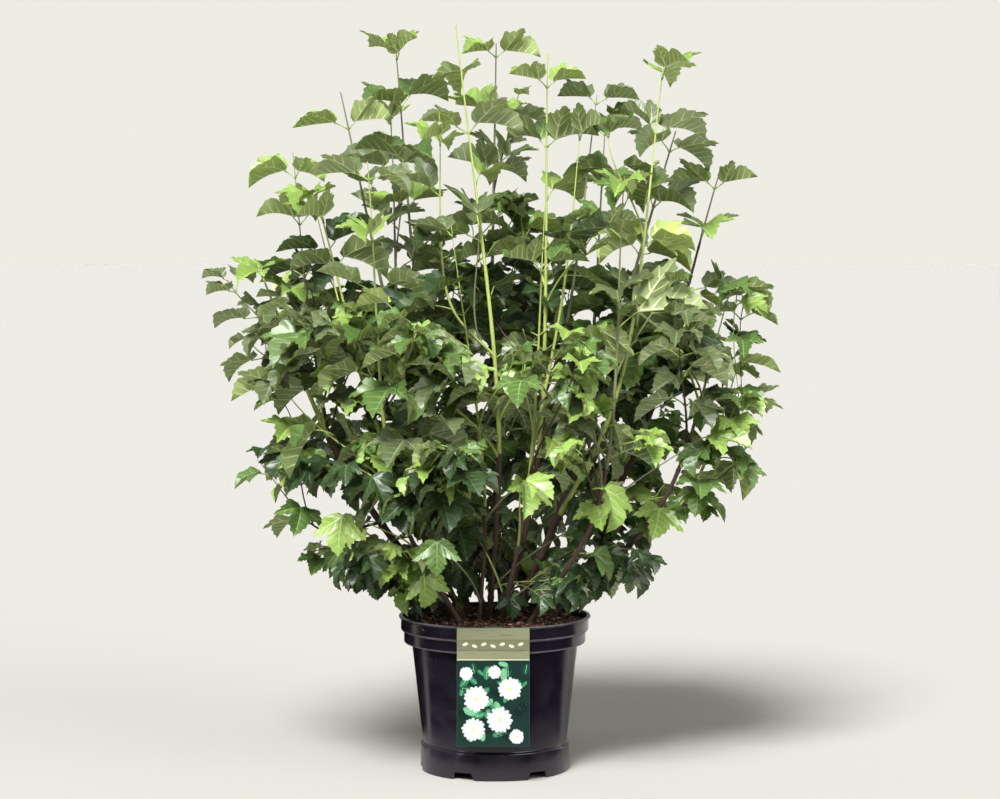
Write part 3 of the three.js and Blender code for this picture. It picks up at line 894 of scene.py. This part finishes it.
def grow_twig(sources, target, draw, hangs=False, leaf=None):
    """A twig from a limb to a place, with pairs of leaves towards its tip, or with one shown leaf."""
    source = choose_source(sources, target, draw)
    foot, along = source[:3], source[3:6]
    span = float(np.linalg.norm(target - foot))
    toward = unit(target - foot)
    away = level(target, toward)
    rise = -0.5 if hangs else 0.9 if target[2] > 0.55 else 0.25
    finish = unit(toward * 0.6 + UP * rise + away * 0.35)
    hold, release = foot + unit(along * 0.7 + toward) * span * 0.33, target - finish * span * 0.3
    path = bezier(foot, hold, release, target, TWIG_POINTS)
    radius = min(source[6] * 0.8, (0.9 + span * 4.5) * MM)
    shares = (0.1, 0.4, 0.5) if target[2] < LOW_TWIGS else (0.4, 0.4, 0.2)
    wood = draw.choice(("lime", "olive", "bark"), p=shares)
    twig = Shoot(path, np.linspace(radius, TWIG_TIP_RADIUS, TWIG_POINTS), 0.0, wood)
    if leaf:
        azimuth, rise, roll, size, tint = leaf
        way = turn_level((1.0, 0.0), math.radians(azimuth))
        look = posture(target[2], draw)
        look |= {"rise": math.radians(rise), "roll": math.radians(roll), "curl": SHOWN_CURL}
        set_leaf(twig, twig.length, way, way, look, size * MM, tint, draw, 25, always=True)
        return twig
    tint = tint_of(target, draw)
    start = max(0.35 * twig.length, twig.length - LEAFY_LENGTH)
    gap = float(np.interp(target[2], (0.3, 0.9), (0.036, 0.066)))
    leaf_pairs(twig, start, twig.length - 0.004, gap, tint, draw)
    tip_way = side_ways(twig.at(twig.length)[1], draw.uniform(0, 3))[0]
    add_leaf(twig, twig.length, tip_way, leaf_size(target[2]) * draw.uniform(0.4, 0.7), tint, draw, 20)
    return twig


def grow_sprays(limbs, rooms):
    """The lone sprays, the shown leaves, and twigs into each room until it holds its leaves."""
    rows = []
    for limb in limbs.values():
        for distance in np.arange(0.05, 0.92, 0.03) * limb.length:
            point, along = limb.at(distance)
            rows.append((*point, *along, limb.radius_at(distance)))
    sources = np.array(rows)
    draw = np.random.default_rng((SEED, 4))
    grown = [grow_twig(sources, np.array(row[:3]) * MM, draw, hangs=row[3]) for row in LONE_SPRAYS]
    grown += [grow_twig(sources, np.array(place) * MM, draw, leaf=leaf) for place, leaf in SHOWN_LEAVES]
    for number, room in enumerate(rooms):
        draw = np.random.default_rng((SEED, 2, number))
        for _ in range(MOST_TWIGS):
            if room.holds(np.array(leaf_places), 1.05).sum() >= room.wanted:
                break
            way = unit(draw.normal(size=3))
            way[2] = abs(way[2]) * 0.8 - 0.15
            target = room.centre + way * room.half * draw.uniform(0.35, 0.8)
            if not hides_limb(target, TWIG_CLEARANCE):
                grown.append(grow_twig(sources, target, draw))
    return grown


# ---------------------------------------------------------------- wood

# The colour, the roughness and the depth of the skin's relief in metres of each kind of wood
WOODS = {
    "bark": ((80, 62, 52), 0.85, 0.0007), "olive": ((116, 118, 84), 0.6, 0.0003),
    "lime": ((168, 182, 98), 0.5, 0.0002),
}
BARK_GRAIN = 0.0016
TWIG_SIDES = 6
# How high the swelling at a pair of buds and the rough skin are, in parts of the radius, then how far up and
# down a swelling reaches and how far apart the pairs are, in metres
BUD_SWELLING = 0.22
SKIN_ROUGHNESS = 0.025
BUD_REACH = 0.0035
BUD_GAPS = (0.05, 0.085)


def bark_relief(rings, sides, length, draw):
    """Long low ribs with a rough skin, and a swelling at each old pair of buds."""
    angles = np.arange(sides) / sides * FULL_TURN
    along = np.linspace(0, length, rings)[:, None]
    ribs = 0.05 * np.sin(3 * angles + draw.uniform(0, 6) + along * 11)
    ribs += 0.03 * np.sin(5 * angles - along * 17)
    buds = np.zeros((rings, 1))
    place = draw.uniform(0.01, 0.05)
    while place < length:
        buds += BUD_SWELLING * np.exp(-((along - place) / BUD_REACH) ** 2)
        place += draw.uniform(*BUD_GAPS)
    return ribs + buds + draw.normal(0, SKIN_ROUGHNESS, (rings, sides))


def make_wood(limbs, twigs):
    """The limbs, split where bark gives way to young wood, and the twigs: a piece for each kind of wood."""
    blocks = {wood: [] for wood in WOODS}
    for number, limb in enumerate(limbs.values()):
        draw = np.random.default_rng((SEED, 3, number))
        cut = int(limb.bark_share * (len(limb.path) - 1))
        stretches = (
            ("bark", slice(cut + 1), 3 * cut, BARK_SIDES, limb.bark_share, 1.0),
            (limb.wood, slice(cut, None), 2 * (len(limb.path) - cut), SHOOT_SIDES, 1 - limb.bark_share, 0.6),
        )
        for wood, part, rings, sides, share, depth in stretches:
            radii = limb.radii[part]
            if len(radii) < 2:
                continue
            radii = np.interp(np.linspace(0, 1, rings), np.linspace(0, 1, len(radii)), radii)
            relief = bark_relief(rings, sides, limb.length * share, draw) * depth
            path = even_steps(limb.path[part], rings)
            blocks[wood].append(tubes(path[None], radii[:, None] * (1 + relief), sides))
    for twig in twigs:
        blocks[twig.wood].append(tubes(twig.path[None], twig.radii[:, None], TWIG_SIDES))
    pieces = {}
    for wood, (colour, roughness, relief) in WOODS.items():
        material = plain_material(f"wood_{wood}", colour, roughness, bump=(BARK_GRAIN, relief))
        pieces[wood] = join_tubes(f"wood_{wood}", blocks[wood], material)
    return pieces


# ---------------------------------------------------------------- finishing

LEAF_KINDS = ("upper", "upper_vein", "under", "under_vein")
# The colour of each kind of leaf face
LEAF_COLOURS = {
    # The darkest tint is a darker leaf tone, and inside the crown it is mostly painted shade
    "deep_and_shaded": ((45, 64, 35), (82, 103, 62), (86, 103, 66), (162, 173, 124)),
    "green": ((80, 106, 52), (122, 147, 84), (130, 145, 92), (204, 211, 158)),
    "fresh": ((128, 154, 76), (164, 186, 106), (152, 168, 106), (216, 222, 168)),
    "lime": ((154, 174, 92), (182, 199, 120), (166, 181, 112), (216, 222, 166)),
    "dusky": ((86, 99, 64), (130, 140, 102), (144, 156, 112), (211, 217, 172)),
}
UPPER_ROUGHNESS = 0.38
UNDER_ROUGHNESS = 0.62
LEAF_BUMP = (0.006, 0.00015)
# How a blade lets light through
LEAF_GLOW = {"Weight": 0.28, "Radius": (0.9, 1.0, 0.25), "Scale": 0.0012}
STALK_COLOUR = (150, 172, 92)
LEAVES_A_PIECE = 440


def leaf_material(tint, kind, colour):
    """A leaf's skin, which lets a little light through."""
    roughness = UPPER_ROUGHNESS if kind.startswith("upper") else UNDER_ROUGHNESS
    material = plain_material(f"leaf_{tint}_{kind}", colour, roughness, bump=LEAF_BUMP)
    shader = material.node_tree.nodes["Principled BSDF"]
    shader.subsurface_method = "BURLEY"
    for part, value in LEAF_GLOW.items():
        shader.inputs[f"Subsurface {part}"].default_value = value
    return material


def make_leaves():
    template = make_leaf_template()
    pieces = []
    for tint, leaves in foliage.items():
        kinds = zip(LEAF_KINDS, LEAF_COLOURS[tint])
        materials = [leaf_material(tint, kind, colour) for kind, colour in kinds]
        for number, start in enumerate(range(0, len(leaves), LEAVES_A_PIECE)):
            part = leaves[start:start + LEAVES_A_PIECE]
            pieces.append(make_leaf_piece(f"leaves_{tint}_{number + 1}", part, template, materials))
    skin = plain_material("leaf_stalk", STALK_COLOUR, 0.5, bump=(0.001, 0.0001))
    all_leaves = [leaf for leaves in foliage.values() for leaf in leaves]
    return pieces, make_stalk_piece("leaf_stalks", all_leaves, skin)


# ---------------------------------------------------------------- pot, soil and card

# Sizes in mm, as in the CAD
POT_HEIGHT = 225
UPPER_BAND = {"radius": 137, "bottom": 204, "top": 221}
LOWER_BAND = {"radius": 132.5, "bottom": 186, "top": 202}
WALL = {"top_radius": 121, "foot_radius": 105, "bottom": 40, "top": 184}
FOOT = {"radius": 108.5, "height": 38, "edge": 3}
CHANNEL = {"inner": 84, "outer": 102, "depth": 10.5, "slope": 3.5}
LIP = {"radius": 140, "height": 3}
SHELL = 2.2
POT_FLOOR = 3
NOTCH = {"count": 6, "first": -115, "wide": 34, "narrow": 26, "height": 10}
# How far the lip and the bands' lower edges are rounded; these edges are painted a lighter grey, a painted
# highlight where they catch the light
LIP_ROUNDING = 1.7
HIGHLIGHT_ROUNDING = 2.0
SPLIT_ANGLE = 32


def pot_profile():
    """The pot's section as radius, height and the rounding of the corner there, in mm."""
    roof = CHANNEL["depth"] + SHELL
    upper, lower = UPPER_BAND["radius"], LOWER_BAND["radius"]
    wall, foot, slope = WALL["foot_radius"], FOOT["radius"], CHANNEL["inner"] + CHANNEL["slope"]
    return (
        (CHANNEL["inner"], 0, 0.5), (slope, CHANNEL["depth"], 0.5), (CHANNEL["outer"], CHANNEL["depth"], 0.5),
        (foot - FOOT["edge"], 0, 0), (foot, 0, 0), (foot, FOOT["height"], 1.2), (wall, WALL["bottom"], 1.5),
        (WALL["top_radius"], WALL["top"], 1.2), (lower, LOWER_BAND["bottom"], HIGHLIGHT_ROUNDING),
        (lower, LOWER_BAND["top"], 0.9), (upper, UPPER_BAND["bottom"], HIGHLIGHT_ROUNDING), (upper, UPPER_BAND["top"], 1.0),
        (LIP["radius"], POT_HEIGHT - LIP["height"], 1.3), (LIP["radius"], POT_HEIGHT, LIP_ROUNDING),
        (upper - SHELL, POT_HEIGHT, 0.8), (upper - SHELL, UPPER_BAND["bottom"] + SHELL, 0.5),
        (lower - SHELL, LOWER_BAND["top"] + SHELL, 0.5), (lower - SHELL, LOWER_BAND["bottom"] + SHELL, 0.5),
        (WALL["top_radius"] - SHELL, WALL["top"] + SHELL, 0.5), (wall - SHELL, WALL["bottom"], 0.5),
        (wall - SHELL, roof, 0.5), (slope, roof, 0.5), (CHANNEL["inner"], POT_FLOOR, 0.5),
    )


def rounded(profile):
    """The same section with each corner as a short curve, and which of its steps lie on an edge painted
    lighter as a highlight.
    """
    points = [np.array(row[:2], float) for row in profile]
    made, painted_highlight = [], []
    for i, (point, row) in enumerate(zip(points, profile)):
        reach = row[2]
        if reach == 0 or i == 0 or i == len(points) - 1:
            made.append(point)
            painted_highlight.append(False)
            continue
        before, after = unit(points[i - 1] - point) * reach, unit(points[i + 1] - point) * reach
        for t in (0.0, 0.33, 0.67, 1.0):
            made.append(point + before * (1 - t) ** 2 + after * t**2)
            painted_highlight.append(reach >= LIP_ROUNDING and t < 1)
    return np.array(made), np.array(painted_highlight)


def pot_angles():
    """The angles of the pot's columns, and for each whether it is in a notch of the foot."""
    wide = math.degrees(NOTCH["wide"] / 2 / FOOT["radius"])
    narrow = math.degrees(NOTCH["narrow"] / 2 / FOOT["radius"])
    period = 360 / NOTCH["count"]
    between = np.linspace(wide, period - wide, 17)[1:-1]
    row = [(-wide, 0), (-narrow, 1), (-narrow / 2, 1), (0, 1), (narrow / 2, 1), (narrow, 1), (wide, 0)]
    row += [(angle, 0) for angle in between]
    return [(NOTCH["first"] + period * i + angle, cut) for i in range(NOTCH["count"]) for angle, cut in row]


def make_pot():
    section, painted_highlight = rounded(pot_profile())
    angles, cut = np.array(pot_angles()).T
    columns, rings = len(angles), len(section)
    radius, height = (np.repeat(side[:, None], columns, axis=1) for side in section.T)
    notched = (cut > 0) & (height < NOTCH["height"]) & (radius > CHANNEL["outer"] - 1)
    height[notched] = NOTCH["height"]
    radius[notched & (radius <= FOOT["radius"] - 1)] = CHANNEL["outer"] + 0.2
    turn = np.radians(angles)
    wall = np.stack((radius * np.cos(turn), radius * np.sin(turn), height), -1).reshape(-1, 3)
    corners = np.vstack((wall, (0, 0, 0), (0, 0, POT_FLOOR))) * MM
    below, above = len(wall), len(wall) + 1
    caps = np.vstack((fan(below, 0, columns, down=True), fan(above, len(wall) - columns, columns)))
    # The lip and the bands' lower edges get a lighter grey: a painted highlight where they catch the light
    edge = two_tone_material("pot_painted_highlight", (96, 92, 104), (70, 66, 78), (0.3, 0.45), 0.012)
    plastic = two_tone_material(
        "pot_plastic", (20, 17, 27), (26, 22, 33), (0.16, 0.28), 0.03, bump=(0.0009, 0.00002), specular=0.6
    )
    kinds = np.concatenate((np.repeat(painted_highlight[:-1], columns), np.zeros(len(caps), bool)))
    walls = grid_quads(rings, columns, closed=True)
    pot = make_piece("pot_shell", corners, [walls, caps], [plastic, edge], kinds)
    pot.modifiers.new("edges", "EDGE_SPLIT").split_angle = math.radians(SPLIT_ANGLE)
    return pot


# Sizes of the soil in mm
SOIL_BOTTOM = 207
SOIL_FLAT_RADIUS = 112
SOIL_EDGE = 134.4
SOIL_EDGE_DROP = 5
SOIL_COLUMNS = 96
SOIL_RINGS = 22


def soil_height(radius):
    """The bed's height in mm at a radius in mm."""
    fall = np.clip((radius - SOIL_FLAT_RADIUS) / (SOIL_EDGE - SOIL_FLAT_RADIUS), 0, 1)
    return SOIL_TOP / MM - SOIL_EDGE_DROP * fall


def make_soil():
    """The bed: rings about a middle corner, then one ring straight below its edge and a flat underside."""
    draw = np.random.default_rng((SEED, 7))
    radii = np.concatenate(([0.0], np.linspace(8, SOIL_EDGE, SOIL_RINGS)))
    rough = draw.normal(0, 1.0, (len(radii), SOIL_COLUMNS))
    rough = (rough + np.roll(rough, 1, axis=1) + np.roll(rough, -1, axis=1)) / 2
    rough[-1] = 0
    heights = soil_height(radii)[:, None] + rough
    middle = (0, 0, heights[0, 0])
    radii = np.append(radii[1:], SOIL_EDGE)
    heights = np.vstack((heights[1:], np.full(SOIL_COLUMNS, SOIL_BOTTOM)))
    rings = np.dstack((*(radii[:, None] * way for way in circle(SOIL_COLUMNS).T), heights)).reshape(-1, 3)
    corners = np.vstack((middle, rings, (0, 0, SOIL_BOTTOM)))
    last = len(corners) - 1
    caps = (fan(0, 1, SOIL_COLUMNS), fan(last, last - SOIL_COLUMNS, SOIL_COLUMNS, down=True))
    quads = 1 + grid_quads(len(radii), SOIL_COLUMNS, closed=True)[:, ::-1]
    material = two_tone_material(
        "soil_peat", (46, 31, 25), (74, 48, 36), (0.9, 0.98), 0.006, bump=(0.002, 0.0015), specular=0.2
    )
    return make_piece("soil_bed", corners * MM, [quads, np.vstack(caps)], [material])


CHIP_COUNT = 3200
# Half of a chip's length, width and thickness, each from its least to its most, in mm
CHIP_SIZES = ((2.0, 6.5), (1.4, 3.6), (0.6, 1.6))
# Each colour of chip and its share
CHIP_COLOURS = {
    (52, 37, 32): 0.34, (86, 62, 50): 0.26, (126, 96, 74): 0.18, (190, 160, 124): 0.12, (28, 22, 22): 0.10,
}


def make_chips():
    """Flat bark chips strewn over the soil, each a crooked little block."""
    draw = np.random.default_rng((SEED, 8))
    radius = np.sqrt(draw.uniform(0, 1, CHIP_COUNT)) * (SOIL_EDGE - 3)
    angle = draw.uniform(0, FULL_TURN, CHIP_COUNT)
    place = np.stack((radius * np.cos(angle), radius * np.sin(angle), soil_height(radius)), axis=1)
    place[:, 2] += draw.uniform(-0.5, 2.2, CHIP_COUNT)
    size = np.column_stack([draw.uniform(*ends, CHIP_COUNT) for ends in CHIP_SIZES])
    block = np.array([(x, y, z) for x in (-1, 1) for y in (-1, 1) for z in (-1, 1)], float)
    shape = block[None] * size[:, None] * draw.uniform(0.6, 1.15, (CHIP_COUNT, 8, 3))
    turn = draw.uniform(0, FULL_TURN, CHIP_COUNT)
    tilt = draw.normal(0, 0.4, (CHIP_COUNT, 2))
    flat = unit(np.stack((np.cos(turn), np.sin(turn), tilt[:, 0]), axis=1))
    high = unit(np.stack((np.zeros(CHIP_COUNT), tilt[:, 1], np.ones(CHIP_COUNT)), axis=1))
    side = unit(np.cross(high, flat))
    high = np.cross(flat, side)
    corners = place[:, None] + (
        shape[..., :1] * flat[:, None] + shape[..., 1:2] * side[:, None] + shape[..., 2:] * high[:, None]
    )
    corners[..., 2] = np.minimum(corners[..., 2], POT_HEIGHT - 1)
    quads = np.array(((0, 1, 3, 2), (4, 6, 7, 5), (0, 4, 5, 1), (2, 3, 7, 6), (0, 2, 6, 4), (1, 5, 7, 3)))
    kinds = draw.choice(len(CHIP_COLOURS), CHIP_COUNT, p=list(CHIP_COLOURS.values()))
    materials = [
        plain_material(f"bark_chip_{i + 1}", colour, 0.85, 0.25, bump=(0.0015, 0.0006))
        for i, colour in enumerate(CHIP_COLOURS)
    ]
    return make_piece(
        "soil_chips", corners.reshape(-1, 3) * MM, [repeat_faces(quads, CHIP_COUNT, 8)], materials,
        np.repeat(kinds, 6), smooth=False,
    )


# Sizes in mm; the face lies halfway into the CAD's sheet and bows towards the pot at its foot
CARD = {"width": 103, "height": 169, "bottom": 56.35, "front": -141.5, "thick": 0.7, "centre": -2, "bow": 1.6}
CARD_FACE = CARD["front"] + CARD["thick"] / 2
CARD_COLUMNS = 9
CARD_ROWS = 17
TONGUE = {"width": 24, "rear": -131.3, "drop": 7, "overlap": 12}
PRINT_COLOURS = {
    "band": (122, 124, 96), "band_shade": (108, 110, 84), "band_line": (84, 84, 64), "rule": (196, 198, 172),
    "field": (16, 42, 36), "field_dark": (9, 26, 24), "leaf_dark": (18, 70, 52), "leaf_mid": (42, 112, 78),
    "leaf_pale": (98, 158, 116), "rib": (140, 186, 146), "petal": (226, 226, 226),
    "petal_shade": (184, 190, 188), "heart": (196, 190, 110),
}
TONES = list(PRINT_COLOURS)
# How far the print stands above the card and goes into it, and how far each of its layers lies above the last
PRINT_LIFT = 0.06
PRINT_ROOT = -0.2
LAYER = 0.03


class Print:
    """Thin shapes that lie on the card's face, each of a tone."""

    def __init__(self):
        self.corners, self.tris, self.quads, self.tri_tones, self.quad_tones = [], [], [], [], []

    def add_corners(self, places, layer):
        """The corners of a shape in front and behind, and the number of the first one on each side."""
        start = len(self.corners)
        for depth in (PRINT_LIFT + LAYER * layer, PRINT_ROOT):
            self.corners += [card_point(u, v, depth) for u, v in places]
        return start, start + len(places)

    def add(self, outline, tone, layer, middle=None):
        """A shape from its outline across and up the card in mm, seen whole from its middle."""
        middle = np.mean(outline, axis=0) if middle is None else middle
        count = len(outline)
        start, back = self.add_corners((middle, *outline), layer)
        ring = 1 + np.arange(count)
        after = np.roll(ring, -1)
        self.tris += [fan(start, start + 1, count), fan(back, back + 1, count, down=True)]
        self.quads.append(np.column_stack((start + after, start + ring, back + ring, back + after)))
        self.tri_tones += [TONES.index(tone)] * 2 * count
        self.quad_tones += [TONES.index(tone)] * count

    def panel(self, low, high, tone, layer):
        """A rectangle that follows the card's bow, from its lowest to its highest corner."""
        across = np.linspace(low[0], high[0], CARD_COLUMNS)
        up = np.linspace(low[1], high[1], max(2, int((high[1] - low[1]) / 8)))
        start, _ = self.add_corners([(u, v) for v in up for u in across], layer)
        quads = start + sheet_quads(len(up), len(across))
        self.quads.append(quads)
        self.quad_tones += [TONES.index(tone)] * len(quads)


def card_point(u, v, depth=0.0):
    """A place on the card's face, from its middle and its bottom edge in mm, and a depth in front of it."""
    low = 1 - v / CARD["height"]
    bend = CARD["bow"] * (0.55 * low**2 + 0.45 * (2 * u / CARD["width"]) ** 2 * low)
    return (CARD["centre"] + u, CARD_FACE + bend - depth, CARD["bottom"] + v)


def make_card():
    """The bowed sheet, and the tongue that is folded back over the pot's lip."""
    across = np.linspace(-CARD["width"] / 2, CARD["width"] / 2, CARD_COLUMNS)
    up = np.linspace(0, CARD["height"], CARD_ROWS)
    corners = [card_point(u, v, depth) for depth in (0, -CARD["thick"]) for v in up for u in across]
    top, rear, half = CARD["bottom"] + CARD["height"], TONGUE["rear"], TONGUE["width"] / 2
    start, foot, drop = len(corners), top - TONGUE["overlap"], top - TONGUE["drop"]
    # Each bend of the tongue's outer and inner side, as how far back it is and how high, in mm
    outer = (
        (CARD_FACE, foot), (CARD_FACE, top + 0.2), (CARD_FACE + 0.8, top + 0.95), (rear - 0.8, top + 0.95),
        (rear, top + 0.2), (rear, drop),
    )
    inner = (
        (CARD_FACE + CARD["thick"], foot), (CARD_FACE + CARD["thick"], top), (CARD_FACE + 1.1, top + 0.3),
        (rear - 1.1, top + 0.3), (rear - CARD["thick"], top), (rear - CARD["thick"], drop),
    )
    for out, back in zip(outer, inner):
        ring = ((-half, *out), (half, *out), (half, *back), (-half, *back))
        corners += [(CARD["centre"] + u, y - 0.02, z) for u, y, z in ring]
    round_quads, ends = tube_faces(len(outer), 4)
    quads = np.vstack((sheet_quads(CARD_ROWS, CARD_COLUMNS), start + round_quads))
    faces = [quads, start + ends]
    material = two_tone_material("card_stock", (58, 74, 66), (50, 66, 60), (0.3, 0.4), 0.02)
    return make_piece("label_card_sheet", np.array(corners) * MM, faces, [material], smooth=False)


# The band at the card's top, as a share of its height, and the edge that the print leaves free, in mm
BAND_SHARE = 0.27
PRINT_EDGE = 0.4
# Each strip's lower and upper edge in mm from the band's lower edge, its tone and its layer
STRIPES = (
    (14, 28, "band_shade", 1), (13.4, 14.1, "band_line", 2), (28, 28.7, "band_line", 2),
    (-0.5, 0.7, "rule", 3),
)
BAND_LINES = 26
BAND_LEAVES = 7
BACK_LEAVES = 90
# The tones of the leaves behind the blossoms, each with its share
LEAF_TONES = {"field_dark": 0.25, "leaf_dark": 0.35, "leaf_mid": 0.27, "leaf_pale": 0.13}
# Blossoms printed on the card: across and up from the middle of the bottom edge, and the radius, in mm
BLOSSOMS = (
    (-28, 24, 17), (9, 38, 19), (33, 14, 11), (-24, 68, 19), (24, 82, 17), (-38, 104, 10), (2, 106, 10),
)
# Each ring of a blossom's petals: how many, their reach as a share of the radius, and their tone
PETAL_RINGS = ((17, 1.0, "petal_shade"), (15, 0.82, "petal"), (12, 0.6, "petal_shade"), (9, 0.44, "petal"))
HEART_SHARE = 0.15


def leaf_outline(u, v, length, angle, plump=0.26):
    """A pointed oval from its foot, its length in mm and the way it points in."""
    t = np.linspace(0, math.pi, 9)
    half = np.column_stack(((1 - np.cos(t)) / 2, plump * np.sin(t) ** 0.9))
    outline = np.vstack((half, half[-2:0:-1] * (1, -1))) * length
    c, s = math.cos(angle), math.sin(angle)
    return (outline @ np.array(((c, s), (-s, c))) + (u, v))[::-1]


def print_leaf(sheet, foot, length, angle, tone, layer):
    sheet.add(leaf_outline(*foot, length, angle), tone, layer)
    rib = leaf_outline(*foot, length * 0.9, angle, plump=0.02)
    sheet.add(rib, "leaf_dark" if tone == "field_dark" else "rib", layer + 0.5)


def print_blossom(sheet, u, v, radius, draw):
    """A round blossom of rings of petals, each petal a shape of its own, with a small heart."""
    for ring, (count, share, tone) in enumerate(PETAL_RINGS):
        turn = draw.uniform(0, FULL_TURN)
        for k in range(count):
            angle = turn + k * FULL_TURN / count + draw.normal(0, 0.05)
            reach = radius * share * draw.uniform(0.92, 1.04)
            inner = 0.3 * reach
            foot = (u + inner * math.cos(angle), v + inner * math.sin(angle))
            plump = 0.9 * math.pi * share * radius / count / (reach - inner)
            petal = leaf_outline(*foot, reach - inner, angle, plump)
            sheet.add(petal, tone, 3 + ring + 0.4 * (k % 2))
    sheet.add(circle(12) * radius * HEART_SHARE + (u, v), "heart", 8, (u, v))


def make_print():
    draw = np.random.default_rng((SEED, 9))
    sheet = Print()
    half, high = CARD["width"] / 2 - PRINT_EDGE, CARD["height"] - PRINT_EDGE
    split = CARD["height"] * (1 - BAND_SHARE)
    sheet.panel((-half, split), (half, high), "band", 0)
    sheet.panel((-half, PRINT_EDGE), (half, split), "field", 0)
    for low, top, tone, layer in STRIPES:
        sheet.panel((-half, split + low), (half, split + top), tone, layer)
    for _ in range(BAND_LINES):
        u, v = draw.uniform(-half + 1, half - 26), draw.uniform(split + 2, high - 2)
        sheet.panel((u, v), (u + draw.uniform(8, 25), v + 0.35), "band_line", 1.5)
    for _ in range(BACK_LEAVES):
        foot = draw.uniform((-half, 2), (half, split - 2))
        angle, length = draw.uniform(0, FULL_TURN), draw.uniform(10, 20)
        tip = foot + length * np.array((math.cos(angle), math.sin(angle)))
        (left, low), (right, top) = np.minimum(foot, tip), np.maximum(foot, tip)
        if max(-left, right) < half - 3 and 4 < low and top < split - 4:
            tone = draw.choice(list(LEAF_TONES), p=list(LEAF_TONES.values()))
            print_leaf(sheet, foot, length, angle, tone, draw.uniform(0.5, 2.4))
    for u, v, radius in BLOSSOMS:
        print_blossom(sheet, u, v, radius, draw)
    for k in range(BAND_LEAVES):
        u = -half + 12 + k * (2 * half - 24) / (BAND_LEAVES - 1)
        sheet.add(leaf_outline(u - 4, split + 21, 8, 0.35 * (-1) ** k), "rule", 3)
    materials = [plain_material(f"print_{tone}", colour, 0.32) for tone, colour in PRINT_COLOURS.items()]
    faces = [np.vstack(sheet.tris), np.vstack(sheet.quads)]
    tones = sheet.tri_tones + sheet.quad_tones
    corners = np.array(sheet.corners) * MM
    return make_piece("label_card_print", corners, faces, materials, tones, smooth=False)


# ---------------------------------------------------------------- the whole plant

make_camera()
make_lights()
make_studio()
limbs = grow_limbs()
for limb_name, (lowest, highest) in SHOWN_LIMBS.items():
    path = limbs[limb_name].path
    shown_paths.append(path[(path[:, 2] > lowest) & (path[:, 2] < highest)])
rooms = list(find_rooms())
dress_limbs(limbs, rooms)
wood = make_wood(limbs, grow_sprays(limbs, rooms))
leaves, stalks = make_leaves()
pot, soil, chips, card, card_print = make_pot(), make_soil(), make_chips(), make_card(), make_print()

# The pieces, the slot that they fill, and the CAD nodes that the first of them stands for
PIECES = (
    (leaves, "foliage", MASSES), ([stalks], "foliage", ()),
    ([wood["bark"]], "old_bark", (*STEMS, "bough_right_front")),
    ([wood["olive"], wood["lime"]], "young_bark", ()), ([pot], "pot", ("pot",)), ([soil], "soil", ("soil",)),
    ([chips], "soil", ()), ([card], "label", ("label_card",)), ([card_print], "label", ()),
)
for pieces, slot, stands_for in PIECES:
    for piece in pieces:
        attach(piece, "root")
    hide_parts(*stands_for)
